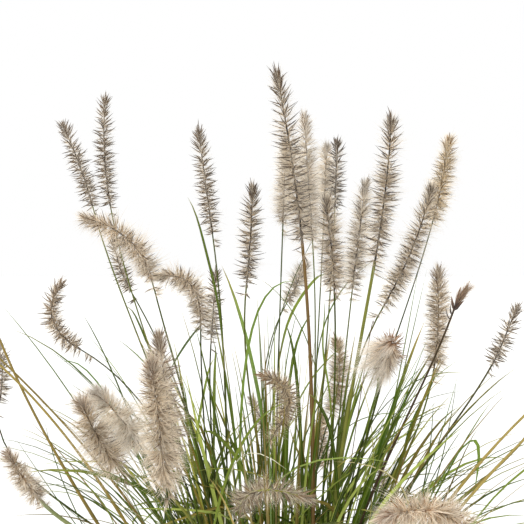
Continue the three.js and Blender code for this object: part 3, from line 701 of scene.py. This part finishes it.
class Look:
    """A material, built from nodes that are fed with numbers, colours and the outputs of other nodes."""

    def __init__(self, name, roughness):
        self.material = bpy.data.materials.new(name)
        self.material.use_nodes = True
        self.tree = self.material.node_tree
        self.shader = self.tree.nodes["Principled BSDF"]
        self.shade({"Roughness": roughness})

    def feed(self, node, values):
        for key, value in values.items():
            if isinstance(value, bpy.types.NodeSocket):
                self.tree.links.new(value, node.inputs[key])
            else:
                node.inputs[key].default_value = value

    def shade(self, values):
        self.feed(self.shader, values)

    def node(self, kind, values, output=0, **settings):
        """An output of a new node, whose inputs are fed with the values."""
        node = self.tree.nodes.new("ShaderNode" + kind)
        for name, setting in settings.items():
            setattr(node, name, setting)
        self.feed(node, values)
        return node.outputs[output]

    def attribute(self, name, output):
        return self.node("Attribute", {}, output, attribute_name=name)

    def geometry(self, output):
        return self.node("NewGeometry", {}, output)

    def math(self, operation, *values):
        return self.node("Math", dict(enumerate(values)), operation=operation)

    def times(self, first, second):
        return self.math("MULTIPLY", first, second)

    def noise(self, vector, scale, detail, roughness=0.6):
        values = {"Vector": vector, "Scale": scale, "Detail": detail, "Roughness": roughness}
        return self.node("TexNoise", values)

    def ramp(self, factor, *stops):
        """A colour for each value of the factor, from two stops: a position and a colour each."""
        output = self.node("ValToRGB", {"Fac": factor})
        for element, (position, colour) in zip(output.node.color_ramp.elements, stops):
            element.position = position
            element.color = (*colour, 1.0)
        return output

    def blend(self, mode, factor, first, second):
        second = (*second, 1.0) if isinstance(second, tuple) else second
        values = {"Factor": factor, 6: first, 7: second}
        return self.node("Mix", values, 2, data_type="RGBA", blend_type=mode)

    def mottle(self, colour, amount, factor, *stops):
        return self.blend("MULTIPLY", amount, colour, self.ramp(factor, *stops))

    def bump(self, height, strength, distance):
        values = {"Height": height, "Strength": strength, "Distance": distance}
        self.shade({"Normal": self.node("Bump", values)})


def leaf_material(name, roughness, vein_depth, mottle):
    """Ribbed leaf or stalk: the tint of each blade, lengthwise veins, a paler middle and cloudy mottling."""
    look = Look(name, roughness)
    across, along, _ = look.node("SeparateXYZ", {0: look.attribute("place", "Vector")}).node.outputs
    veins = look.math("MULTIPLY_ADD", look.math("SINE", look.times(across, 24.0)), 0.5, 0.5)
    middle = look.math("POWER", look.math("SUBTRACT", 1.0, look.math("ABSOLUTE", across)), 9.0)
    stretched = look.node("CombineXYZ", {0: look.times(across, 1.6), 1: look.times(along, 0.03)})
    streaks = look.noise(stretched, 3.0, 6.0, 0.65)
    clouds = look.noise(look.geometry("Position"), 38.0, 3.0)
    colour = look.attribute("tint", "Color")
    colour = look.mottle(colour, mottle, streaks, (0.25, (0.62, 0.62, 0.62)), (0.75, (1.18, 1.18, 1.1)))
    colour = look.mottle(colour, mottle, clouds, (0.3, (0.8, 0.84, 0.8)), (0.7, (1.15, 1.12, 1.0)))
    colour = look.blend("MULTIPLY", look.times(veins, 0.22), colour, (0.62, 0.66, 0.5))
    colour = look.blend("MIX", look.times(middle, 0.35), colour, (0.42, 0.5, 0.2))
    look.shade({"Base Color": colour, "Specular IOR Level": 0.1})
    look.bump(veins, vein_depth, 0.0002)
    return look.material


def spike_material():
    """Dry spikelets and bristles: their tint, broken by fine grain, with a soft sheen."""
    look = Look("spike_fluff", 0.75)
    grain = look.noise(look.geometry("Position"), 900.0, 3.0)
    patch = look.noise(look.geometry("Position"), 90.0, 2.0)
    colour = look.attribute("tint", "Color")
    colour = look.mottle(colour, 0.8, grain, (0.3, (0.84, 0.82, 0.8)), (0.7, (1.12, 1.1, 1.08)))
    colour = look.mottle(colour, 0.7, patch, (0.3, (0.86, 0.84, 0.82)), (0.7, (1.08, 1.07, 1.05)))
    look.shade({"Base Color": colour, "Sheen Weight": 0.25})
    look.bump(grain, 0.3, 0.0002)
    return look.material


def soil_material():
    """Crumbly potting soil: the tint of each lump, with dark patches and pale specks of fibre."""
    look = Look("potting_soil", 0.95)
    coarse = look.noise(look.geometry("Position"), 160.0, 8.0, 0.7)
    fibres = look.noise(look.geometry("Position"), 620.0, 5.0, 0.7)
    colour = look.attribute("tint", "Color")
    colour = look.mottle(colour, 0.9, coarse, (0.3, (0.45, 0.42, 0.4)), (0.62, (1.25, 1.2, 1.12)))
    colour = look.mottle(colour, 0.6, fibres, (0.62, (1.0, 1.0, 1.0)), (0.7, (2.2, 1.9, 1.5)))
    look.shade({"Base Color": colour})
    look.bump(coarse, 0.7, 0.002)
    return look.material


def pot_material():
    """Charcoal moulded plastic: fine grain, dusty streaks, soil splashed on the foot and scuffed edges."""
    look = Look("pot_plastic", 0.55)
    position = look.geometry("Position")
    stretched = look.node("Mapping", {"Vector": position, "Scale": (60.0, 60.0, 7.0)})
    clouds = look.noise(position, 14.0, 5.0)
    dust = look.times(look.noise(stretched, 1.0, 6.0, 0.62), clouds)
    colour = look.ramp(dust, (0.16, (0.024, 0.025, 0.027)), (0.46, (0.052, 0.05, 0.047)))
    height = look.node("SeparateXYZ", {0: position}, "Z")
    low = look.math("SUBTRACT", 1.0, look.times(height, 22.0))
    low.node.use_clamp = True
    splash = look.times(low, look.noise(position, 120.0, 6.0, 0.7))
    colour = look.blend("MIX", splash, colour, (0.16, 0.12, 0.08))
    edge = look.math("GREATER_THAN", look.geometry("Pointiness"), 0.53)
    scuff = look.math("GREATER_THAN", look.noise(position, 260.0, 8.0, 0.75), 0.52)
    colour = look.blend("MIX", look.times(look.times(edge, scuff), 0.35), colour, (0.2, 0.2, 0.2))
    rough = look.ramp(clouds, (0.3, (0.42, 0.42, 0.42)), (0.7, (0.66, 0.66, 0.66)))
    look.shade({"Base Color": colour, "Roughness": rough})
    look.bump(look.noise(position, 1500.0, 2.0), 0.25, 0.0003)
    return look.material


# Culms with their joints, leaf sheaths and leaves, crowns with their stubs, and whole tufts

def add_culm(heap, controls, colour, radius, draw):
    """A culm with its joints, each in a leaf sheath. Returns the shares of the way where leaves may be."""
    shares = np.linspace(0, 1, CULM_STEPS + 1)
    radii = radius * (1.15 - 0.4 * shares)
    colours = np.tile(colour, (len(shares), 1))
    joints = [draw(*stretch) for stretch in CULM_JOINTS]
    for joint in joints:
        near = np.exp(-((shares - joint) / JOINT_REACH) ** 2)
        sheathed = (shares > joint) & (shares < joint + SHEATH_SHARE)
        radii = radii * (1 + JOINT_SWELL * near) + SHEATH_THICKNESS * sheathed
        colours = colours * (1 - JOINT_DARKENING * near[:, None])
    colours = mixed(colours, ROOT_COLOUR, np.interp(shares, *CULM_ROOT_COLOURING))
    side = side_of(controls[0], controls[-1])
    add_tube(heap, *bezier(controls, shares), radii, CULM_SIDES, colours, side)
    return [joint + CULM_LEAF_SHARE for joint in joints]


def add_culm_leaf(heap, controls, share, draw):
    """A narrow leaf that leaves the culm at the mouth of its sheath."""
    (place,), (heading,) = bezier(controls, [share])
    blade = dict(
        root=place,
        azimuth=math.atan2(heading[1], heading[0]) + draw(-1.6, 1.6),
        length=draw(110, 250),
        lean=draw(6, 30) * DEGREE,
        bend=draw(15, 80) * DEGREE,
        bow=draw(-8, 8),
        sway=draw(-5, 5),
        roll=draw(-0.8, 0.8),
        width=draw(2.4, 3.8),
    )
    if keeps_clear(blade):
        green = GREENS[int(draw(1, 4.99))]
        add_blade(heap, blade, green, green * 1.15, TIPS[int(draw(0, 3.99))])


# Tone and radius of the culms that differ from the plain green ones, by the number of their spike
CULM_LOOKS = {
    9: (linear("#7b5b38"), 1.8),
    15: (linear("#7f8140"), 1.9),
    18: (linear("#4d5230"), 0.8),
    22: (linear("#4c3d2e"), 1.2),
    23: (linear("#4f4d32"), 1.2),
    35: (linear("#98a072"), 2.2),
    37: (linear("#8b7a45"), 1.4),
}


def add_crown(heap, tuft):
    """The short thick base of a tuft, which stands in its hole in the soil."""
    heights = np.array([-CROWN_DEPTH, 0, CROWN_RISE / 2, CROWN_RISE])
    radii = tuft.radius * CROWN_SLIMMING * np.array([1, 1, 1, CROWN_TOP_SHARE])
    points = crown_centre(tuft) + heights[:, None] * UP
    headings = np.broadcast_to(UP, points.shape)
    add_tube(heap, points, headings, radii, CROWN_SIDES, ROOT_COLOUR * CROWN_SHADE, X_AXIS)


def random_straws(count, darkest, palest, rng):
    """Straw colours, each shaded between two shares."""
    return np.array(STRAWS)[rng.integers(0, len(STRAWS), count)] * rng.uniform(darkest, palest, (count, 1))


def add_stubs(heap, tuft, rng):
    """Last year's stalks and sheaths, cut back to short stubs that lean out round the edge of the crown."""
    out = turned(X_AXIS, Y_AXIS, rng.uniform(0, 2 * math.pi, STUBS))
    middle = crown_centre(tuft) + UP * CROWN_RISE / 2
    roots = middle + out * tuft.radius * rng.uniform(0.62, 0.82, (STUBS, 1))
    aims = unit(out * rng.uniform(0.05, 0.5, (STUBS, 1)) + UP)
    lengths, widths = rng.uniform(22, 62, STUBS), rng.uniform(2.0, 3.6, STUBS)
    straws = random_straws(STUBS, 0.55, 1.0, rng)
    profile = [(0.0, 1.0), (0.6, 0.95), (0.96, 0.8)]
    add_needles(heap, roots, aims, lengths, widths, out * 0.08, profile, 6, straws * 0.7, straws)


def singles_of(tuft, singles):
    return [single for single in singles if single.tuft == tuft.name]


def tuft_heap(tuft, make, greens, tips, extra):
    """A crown with its stubs, blades, culms, dry stalks and the single blades of the tables."""
    heap = Heap()
    paint = draws_from(tuft.seed + PAINT_SEED_STEP)

    def pick(colours):
        return colours[int(paint(0, len(colours) - 0.01))]

    add_crown(heap, tuft)
    add_stubs(heap, tuft, np.random.default_rng(tuft.seed))
    for index in range(tuft.blades + extra):
        blade = clear_blade(make, tuft, index, index >= tuft.blades)
        if blade is None:
            continue
        if index < tuft.blades:
            blade["width"] *= paint(*SLIMMING)
        green = pick(WISPS if blade["width"] < WISP_WIDTH else greens) * paint(0.65, 1.45)
        add_blade(heap, blade, green * 0.8, green * 1.15, pick(tips))

    carried = [number for number, spike in enumerate(SPIKES, 1) if spike.tuft == tuft.name]
    for place, number in enumerate(carried):
        controls = culm_controls(tuft, SPIKES[number - 1], place)
        plain = (pick(CULM_GREENS), paint(0.85, 1.1))
        draw = draws_from(tuft.seed + number)
        for share in add_culm(heap, controls, *CULM_LOOKS.get(number, plain), draw):
            if draw(0, 1) < CULM_LEAF_CHANCE:
                add_culm_leaf(heap, controls, share, draw)
    for place, entry in enumerate(singles_of(tuft, DRY_STALKS), len(carried)):
        controls = controls_through(root_towards(tuft, entry.tip, place), entry.middle, entry.tip)
        add_culm(heap, controls, pick(STRAWS[:3]), CULM_RADIUS * paint(0.85, 1.2), paint)
    for place, entry in enumerate(singles_of(tuft, LONG_BLADES), len(carried)):
        green = linear(entry.colour)
        add_blade(heap, long_blade(tuft, entry, place), green * 0.85, green * 1.2, pick(tips))
    for place, entry in enumerate(singles_of(tuft, FINE_BLADES)):
        green = linear(entry.colour)
        add_blade(heap, fine_blade(tuft, entry, place), green * 0.85, green * 1.2, green * 1.3)
    return heap


# Spikes

# Spikelets: how many stand on each millimetre of the rachis, their angle to it in degrees, and their share
# of the spike's reach, each by the share of the way along. A long spike is thinner near its top.
DENSITY = ([0, 0.05, 0.25, 0.6, 0.8, 0.92], [0.8, 1.7, 2.2, 2.0, 1.8, 2.3])
LONG_DENSITY = ([0, 0.05, 0.25, 0.55, 0.66, 0.84, 0.92], [0.8, 1.7, 2.3, 2.1, 1.2, 1.2, 2.1])
LONG_SPIKE = 125
SLANT = ([0, 0.3, 0.6, 0.75, 0.86, 1], [100, 92, 80, 64, 40, 14])
REACH = ([0, 0.15, 0.5, 0.8, 0.92, 1], [0.9, 1.1, 1.15, 1.06, 0.9, 0.8])
SLANT_STRAY = 0.16
RACHIS_SHARE = 0.94
RACHIS_RINGS = 18
RACHIS_SIDES = 7
SPINE_POINTS = 240
WHORL_SPACING = 3.7
LOOSE_SPIKELETS = 4
TIP_SPIKELETS = 9
TIP_STRETCH = (0.84, 0.96)
HUSKS = 11
HUSK_HAIRS = 20
HOOKS = 3

# How far the spikelets and bristles turn to the crest's colour, and how much shorter the bristles are there
SPIKELET_TOP = ([0.72, 0.92], [0, 0.75])
BRISTLE_TOP = ([0.76, 1], [0, 0.7])
TOP_SHORTENING = 0.4

# By the fluff of a spike: how far its spikelets stray from their whorls, their width and share of the
# length, and the number of bristles round each, with their width, spread, share and darkest shade
FLUFF = [0.3, 1, 2.4]
STRAY = [0.6, 1.1, 1.6]
SPIKELET_WIDTH = [1.45, 1.3, 0.8]
SPIKELET_SHARE = [1, 0.98, 0.62]
BRISTLES = [7, 10, 14]
BRISTLE_WIDTH = [0.17, 0.21, 0.34]
BRISTLE_SPREAD = [0.5, 0.4, 0.26]
BRISTLE_SHARE = [1.4, 1.25, 1.3]
BRISTLE_DARKEST = [0.81, 0.74, 0.6]
WOOLLY = 1.5

# The spikes whose bristles cling together in strands, and the way these stream
STRANDS = {24: (-0.6, 0, -0.42), 32: (0, 0, -0.05)}
STRAND_SPREAD = 0.4
STRAND_SHADE = 0.45


def spikelet_places(length, fluff, rng):
    """Shares of the length and turns about it: whorls, loose spikelets below them and a bunch on top."""
    density = LONG_DENSITY if length > LONG_SPIKE else DENSITY
    stray = np.interp(fluff, FLUFF, STRAY)
    along, turns = [], []
    place, turn = 0.01, rng.uniform(0, 6)
    while place < RACHIS_SHARE:
        count = max(2, round(np.interp(place, *density) * WHORL_SPACING + rng.normal(0, 0.6)))
        along.append(place + rng.normal(0, stray, count) / length)
        turns.append(turn + even_turns(count) + rng.normal(0, 0.25, count))
        place += WHORL_SPACING * rng.uniform(0.75, 1.25) / length
        turn += GOLDEN_ANGLE
    along.append(-rng.uniform(3, 14, LOOSE_SPIKELETS) / length)
    along.append(rng.uniform(*TIP_STRETCH, TIP_SPIKELETS))
    turns.append(rng.uniform(0, 2 * math.pi, LOOSE_SPIKELETS + TIP_SPIKELETS))
    return np.concatenate(along), np.concatenate(turns)


def add_spikelets(heap, line, places, spike, rng):
    """Dark slender spikelets, each on its own angle."""
    along, turns, slants = places
    count = len(along)
    tone, fluff = TONES[spike.tone], spike.fluff
    out, ahead, roots = line(along, turns)
    share = np.interp(fluff, FLUFF, SPIKELET_SHARE)
    lengths = spike.reach * np.interp(along, *REACH) * rng.triangular(0.6, 1.0, 1.1, count) * share
    widths = rng.uniform(0.75, 1.25, count) * np.interp(fluff, FLUFF, SPIKELET_WIDTH)
    bends = ahead * rng.uniform(-0.12, 0.25, (count, 1)) + rng.normal(0, 0.06, (count, 3))
    shade = rng.uniform(0.5, 1.3, (count, 1))
    top = np.interp(along, *SPIKELET_TOP)
    low, high = shade * mixed(tone.root, tone.crest, top), shade * mixed(tone.tip, tone.crest * 0.8, top)
    profile = [(0.0, 0.3), (0.3, 1.0), (0.65, 0.62)]
    aims = unit(turned(ahead, out, slants))
    add_needles(heap, roots + out * 0.4, aims, lengths, widths, bends, profile, 3, low, high)


def add_bristles(heap, line, places, spike, sweep, rng):
    """Pale fine bristles in a bundle round each spikelet, some longer than it. Woolly bundles droop."""
    along, turns, slants = places
    tone, fluff = TONES[spike.tone], spike.fluff
    numbers = (BRISTLES, BRISTLE_SPREAD, BRISTLE_WIDTH, BRISTLE_SHARE, BRISTLE_DARKEST)
    each, spread, width, longest, darkest = (np.interp(fluff, FLUFF, values) for values in numbers)
    each = round(each)
    if sweep.any():
        spread = spread * STRAND_SPREAD
        darkest = STRAND_SHADE
    bundles, count = along.size, along.size * each
    reached = np.repeat(along, each)

    def bundled(own, jitter):
        """A value for each bristle: that of its bundle, with a little of its own."""
        return np.repeat(own, each, axis=0) + rng.normal(0, jitter, (count, *own.shape[1:]))

    out, ahead, roots = line(reached, bundled(turns, spread))
    aims = unit(turned(ahead, out, bundled(slants, spread)))
    top = np.interp(reached, *BRISTLE_TOP)
    stretch = np.repeat(1 + (rng.uniform(0.7, 1.15, bundles) - 1) * min(1, fluff), each)
    lengths = spike.reach * np.interp(reached, *REACH) * rng.triangular(0.5, 1.0, longest, count)
    lengths = lengths * stretch * (1 - TOP_SHORTENING * top)
    widths = rng.uniform(0.8, 1.2, count) * width
    droop = sweep - UP * 0.14 * max(0, fluff - 1)
    bends = ahead * rng.uniform(-0.1, 0.3, (count, 1)) + droop
    bends = bends + bundled(rng.normal(0, 0.12, (bundles, 3)), 0.06)
    shade = np.clip(bundled(rng.uniform(darkest, 1.06, bundles), 0.06), 0.4, 1.1)[:, None]
    low, high = shade * mixed(tone.bristle_root, tone.crest, top), shade * tone.bristle_tip
    profile = [(0.0, 1.0), (0.5, 0.8)] if fluff > WOOLLY else [(0.0, 1.0)]
    add_needles(heap, roots + out * 0.4, aims, lengths, widths, bends, profile, 3, low, high)


def add_husks(heap, line, rng, tone):
    """A sheaf of plump husks with hairy tips and hooked ones under it, on a spike that has shed the rest."""
    out, ahead, roots = line(np.linspace(0, 0.5, HUSKS), np.arange(HUSKS) * GOLDEN_ANGLE)
    aims = unit(turned(ahead, out, np.linspace(38, 6, HUSKS) * DEGREE))
    lengths, widths = rng.uniform(13, 18, HUSKS), rng.uniform(2.2, 3.2, HUSKS)
    profile = [(0.0, 0.4), (0.15, 0.8), (0.4, 1.0), (0.7, 0.6), (0.9, 0.25)]
    add_needles(heap, roots, aims, lengths, widths, -out * 0.1, profile, 7, tone.root, tone.tip)

    hairs = HUSKS * HUSK_HAIRS
    out, ahead, roots = line(np.linspace(0.3, 1, hairs), np.arange(hairs) * GOLDEN_ANGLE)
    aims = unit(out * rng.uniform(0.05, 0.6, (hairs, 1)) + ahead)
    lengths, widths = rng.uniform(8, 15, hairs), rng.uniform(0.25, 0.45, hairs)
    colours = tone.bristle_root, tone.bristle_tip
    add_needles(heap, roots + out, aims, lengths, widths, out * 0.1, [(0.0, 1.0)], 3, *colours)

    out, ahead, roots = line(np.linspace(-0.35, 0.05, HOOKS), np.linspace(2, 4.2, HOOKS))
    aims = unit(out + ahead * 0.3)
    lengths, widths = rng.uniform(8, 11, HOOKS), rng.uniform(1.4, 2.2, HOOKS)
    bends = ahead * 0.75 - out * 0.2
    add_needles(heap, roots, aims, lengths, widths, bends, profile, 5, tone.rachis, tone.root)


def spike_heap(spike, number):
    """A slim rachis with spikelets in whorls, a bunch of them at the tip, and bristles all round."""
    rng = np.random.default_rng(number)
    tone, fluff = TONES[spike.tone], spike.fluff
    controls = spike_controls(spike)
    side = side_of(controls[0], controls[2])
    heap = Heap()
    shares = np.linspace(0, RACHIS_SHARE, RACHIS_RINGS)
    add_tube(heap, *bezier(controls, shares), 1.0 - 0.45 * shares, RACHIS_SIDES, tone.rachis, side)

    spine, ways = bezier(controls, np.linspace(0, 1, SPINE_POINTS))
    length = np.linalg.norm(np.diff(spine, axis=0), axis=1).sum()
    levels, risings = frames_along(ways, side)

    def line(along, turns):
        """Outward and forward directions and places on the rachis, for shares of its length and turns."""
        index = (np.clip(along, 0, 1) * (SPINE_POINTS - 1)).astype(int)
        below = np.minimum(along, 0)[:, None] * length * ways[:1]
        return turned(levels[index], risings[index], turns), ways[index], spine[index] + below

    if fluff == 0:
        add_husks(heap, line, rng, tone)
        return heap
    along, turns = spikelet_places(length, fluff, rng)
    places = (along, turns, np.interp(along, *SLANT) * DEGREE + rng.normal(0, SLANT_STRAY, len(along)))
    add_spikelets(heap, line, places, spike, rng)
    add_bristles(heap, line, places, spike, np.array(STRANDS.get(number, (0, 0, 0))), rng)
    return heap


# Pot

POT_SIDES = 144
POT_WALL_RINGS = 12
POT_FOOT_ROUND = 4
POT_SHARP_TURN = 28


def arc(centre, radius, start, end, steps):
    """Points of an arc in the profile, by its angles in degrees."""
    angles = np.linspace(start, end, steps) * DEGREE
    return [(centre[0] + radius * math.cos(a), centre[1] + radius * math.sin(a)) for a in angles]


def pot_profile():
    """Up the outside from the foot, over the rolled rim and down the inside to the floor."""
    foot, shoulder, top = POT_FOOT_ROUND, POT_HEIGHT - POT_RIM_HEIGHT, POT_HEIGHT
    outside, rim = POT_SHOULDER_RADIUS, POT_RIM_RADIUS
    flare = (outside - POT_BASE_RADIUS) / shoulder
    return (
        arc((POT_BASE_RADIUS - foot, foot), foot, -90, 0, 6)
        + [(POT_BASE_RADIUS + flare * z, z) for z in np.linspace(2 * foot, shoulder - foot, POT_WALL_RINGS)]
        + arc((outside + 2, shoulder - 2), 2, 180, 90, 4)
        + arc((rim - 2.5, shoulder + 2.5), 2.5, -90, 0, 5)
        + [(rim - 0.8, shoulder + 9), (rim - 0.8, shoulder + 10)]
        + arc((rim - 3, top - 3), 3, 0, 90, 6)
        + arc((outside + 2.5, top - 2.5), 2.5, 90, 180, 5)
        + [(outside - 0.4, top - 24), (POT_BASE_RADIUS - POT_WALL, POT_FLOOR), (0, POT_FLOOR)]
    )


def cut_drain_holes(piece):
    for turn in even_turns(DRAIN_HOLES):
        place = polar(DRAIN_RING_RADIUS, turn) * MM
        radius, depth = DRAIN_HOLE_RADIUS * MM, 4 * POT_FLOOR * MM
        bpy.ops.mesh.primitive_cylinder_add(vertices=40, radius=radius, depth=depth, location=place)
        drill = bpy.context.object
        cut = piece.modifiers.new("hole", "BOOLEAN")
        cut.operation = "DIFFERENCE"
        cut.object = drill
        cut.solver = "EXACT"
        bpy.context.view_layer.update()
        cut_piece = piece.evaluated_get(bpy.context.evaluated_depsgraph_get())
        cut_mesh = bpy.data.meshes.new_from_object(cut_piece)
        piece.modifiers.remove(cut)
        bpy.data.objects.remove(drill)
        piece.data = cut_mesh


def make_pot():
    points, triangles = lathe(pot_profile(), POT_SIDES)
    heap = Heap()
    heap.add(points, triangles, np.full(3, 0.05), np.zeros_like(points))
    piece = add_piece("pot", heap, pot_material(), "pot", POT_SHARP_TURN)
    cut_drain_holes(piece)
    piece.data.set_sharp_from_angle(angle=POT_SHARP_TURN * DEGREE)


# Soil

SOIL_SIDES = 150
SOIL_RINGS = 46
SOIL_SHARP_TURN = 35
SOIL_SEED = 5
SCRAPS = 70
SCRAP_LIFT = 1.2
BROWNS = [linear(code) for code in ("#2e2118", "#4a3626", "#5d452f", "#3a2a1e", "#705539")]

# Lumps on the soil: their number, how far out they lie, the range of their sizes, the share of it that lifts
# them, the subdivisions of their ball and their colours. The last ones are white perlite.
LUMPS = [
    (91, 0.97, (2.4, 4.2), 0.2, 1, BROWNS),
    (1009, 0.97, (0.7, 2.6), 0.2, 1, BROWNS),
    (70, 0.95, (0.9, 1.9), 0.4, 2, [linear("#d8d4c8")]),
]


def soil_height(x, y):
    return SOIL_TOP + SOIL_SWELL * math.sin(x / 23 + 1) * math.cos(y / 19 - x / 61)


def soil_top(x, y):
    crumble = noise.fractal(Vector((x / 9, y / 9, 3.0)), 0.9, 2.1, 5)
    return soil_height(x, y) + 1.5 * crumble


def soil_edge(z):
    share = (z - POT_FLOOR) / (POT_HEIGHT - 2 - POT_FLOOR)
    inside = POT_BASE_RADIUS - POT_WALL + (POT_SHOULDER_RADIUS - POT_BASE_RADIUS + POT_WALL) * share
    return inside - 2 * CLEARANCE


def add_lump(heap, place, size, colour, rng, ball):
    """A crumb: a ball with its points pushed in and out, squashed and turned."""
    points, triangles = ball
    shape = points * rng.uniform(0.72, 1.2, (len(points), 1)) * size * rng.uniform(0.6, 1.15, 3)
    turn = rng.uniform(0, 2 * math.pi)
    spin = np.array([[math.cos(turn), -math.sin(turn), 0], [math.sin(turn), math.cos(turn), 0], [0, 0, 1]])
    heap.add(shape @ spin.T + place, triangles, colour, np.zeros_like(points))


def icosphere(subdivisions):
    bpy.ops.mesh.primitive_ico_sphere_add(subdivisions=subdivisions, radius=1)
    ball = bpy.context.object
    points = np.array([tuple(v.co) for v in ball.data.vertices])
    triangles = np.array([tuple(p.vertices) for p in ball.data.polygons])
    bpy.data.objects.remove(ball)
    return points, triangles


def add_litter(heap, edge, rng):
    """Scraps of dry leaf that lie on the soil."""
    radii, azimuths = edge * np.sqrt(rng.uniform(0, 0.8, SCRAPS)), rng.uniform(0, 2 * math.pi, SCRAPS)
    x, y = radii * np.cos(azimuths), radii * np.sin(azimuths)
    roots = np.array([(a, b, soil_top(a, b) + SCRAP_LIFT) for a, b in zip(x, y)])
    aims = unit(np.stack([-y, x, 0 * x], axis=1) + rng.normal(0, 60, (SCRAPS, 3)) * (1, 1, 0.02))
    straws = random_straws(SCRAPS, 0.4, 0.9, rng)
    lengths, widths = rng.uniform(12, 38, SCRAPS), rng.uniform(1.0, 2.2, SCRAPS)
    bends = rng.normal(0, 0.12, (SCRAPS, 3)) * (1, 1, 0.1)
    profile = [(0.0, 0.6), (0.4, 1.0), (0.8, 0.7)]
    add_needles(heap, roots, aims, lengths, widths, bends, profile, 4, straws, straws)


def make_soil():
    rng = np.random.default_rng(SOIL_SEED)
    heap = Heap()
    edge, floor = soil_edge(SOIL_TOP - SOIL_SWELL), POT_FLOOR + CLEARANCE
    top = [(edge * ring / SOIL_RINGS, SOIL_TOP) for ring in range(SOIL_RINGS, -1, -1)]
    points, triangles = lathe([(soil_edge(floor), floor)] + top, SOIL_SIDES)
    points[SOIL_SIDES:, 2] = [soil_top(x, y) for x, y, _ in points[SOIL_SIDES:]]
    heap.add(points, triangles, linear("#3a2b1f"), np.zeros_like(points))
    for count, outmost, sizes, rise, subdivisions, colours in LUMPS:
        ball = icosphere(subdivisions)
        for _ in range(count):
            x, y, _ = polar(edge * math.sqrt(rng.uniform(0, outmost)), rng.uniform(0, 2 * math.pi))
            size = rng.uniform(*sizes)
            colour = colours[rng.integers(len(colours))]
            add_lump(heap, np.array([x, y, soil_top(x, y) + size * rise]), size, colour, rng, ball)
    add_litter(heap, edge, rng)
    add_piece("soil", heap, soil_material(), "soil", SOIL_SHARP_TURN)


# The plant

SPIKE_SHARP_TURN = 60


def make_plant():
    green = leaf_material("green_blades", 0.48, 0.5, 0.75)
    straw = leaf_material("dry_straw", 0.62, 0.7, 0.6)
    fluff = spike_material()
    kinds = (
        (GREEN_TUFTS, outer_blade, GREENS, TIPS, EXTRA_GREEN, green, "green"),
        ([MIDDLE_TUFT], middle_blade, GREENS, TIPS, EXTRA_MIDDLE, green, "green"),
        (STRAW_TUFTS, straw_blade, STRAWS, STRAWS, EXTRA_STRAW, straw, "straw"),
    )
    for tufts, make, colours, tips, extra, material, slot in kinds:
        for tuft in tufts:
            add_piece(tuft.name, tuft_heap(tuft, make, colours, tips, extra), material, slot)
    for number, spike in enumerate(SPIKES, 1):
        add_piece(f"spike_{number:02d}", spike_heap(spike, number), fluff, "spike", SPIKE_SHARP_TURN)


# Stage, light and camera

def make_floor():
    bpy.ops.mesh.primitive_circle_add(vertices=96, radius=40, fill_type="NGON", location=(0, 0, 0))
    floor = bpy.context.object
    floor.name = "floor"
    look = Look("pale_floor", 0.9)
    grain = look.noise(look.geometry("Position"), 4.0, 3.0)
    tone = look.ramp(grain, (0.3, (0.86, 0.86, 0.85)), (0.7, (0.9, 0.9, 0.89)))
    look.shade({"Base Color": tone, "Specular IOR Level": 0.1})
    floor.data.materials.append(look.material)
    floor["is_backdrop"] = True


def make_light():
    world = bpy.data.worlds.new("studio")
    world.use_nodes = True
    world.node_tree.nodes["Background"].inputs["Color"].default_value = (1, 1, 1, 1)
    world.node_tree.nodes["Background"].inputs["Strength"].default_value = 1.0
    bpy.context.scene.world = world
    sun = bpy.data.lights.new("key", "SUN")
    sun.energy = 1.8
    sun.angle = 25 * DEGREE
    key = bpy.data.objects.new("key", sun)
    key.rotation_euler = (38 * DEGREE, -24 * DEGREE, 0)
    bpy.context.scene.collection.objects.link(key)
    bpy.context.scene.view_settings.view_transform = "Standard"


def make_camera():
    """Level, 950 mm before the middle of the pot, where 1 mm fills 1 pixel of the 524 pixel frame."""
    distance, height, aside = 0.95, 0.643, -0.015
    lens = bpy.data.cameras.new("camera")
    lens.sensor_width = 36
    lens.lens = lens.sensor_width * distance / 0.524
    camera = bpy.data.objects.new("camera", lens)
    camera.location = (aside, -distance, height)
    camera.rotation_euler = (math.pi / 2, 0, 0)
    bpy.context.scene.collection.objects.link(camera)
    bpy.context.scene.camera = camera


make_camera()
make_floor()
make_light()
make_pot()
make_soil()
make_plant()

[[list(corner) for corner in box] for box in (cad_box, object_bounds())]
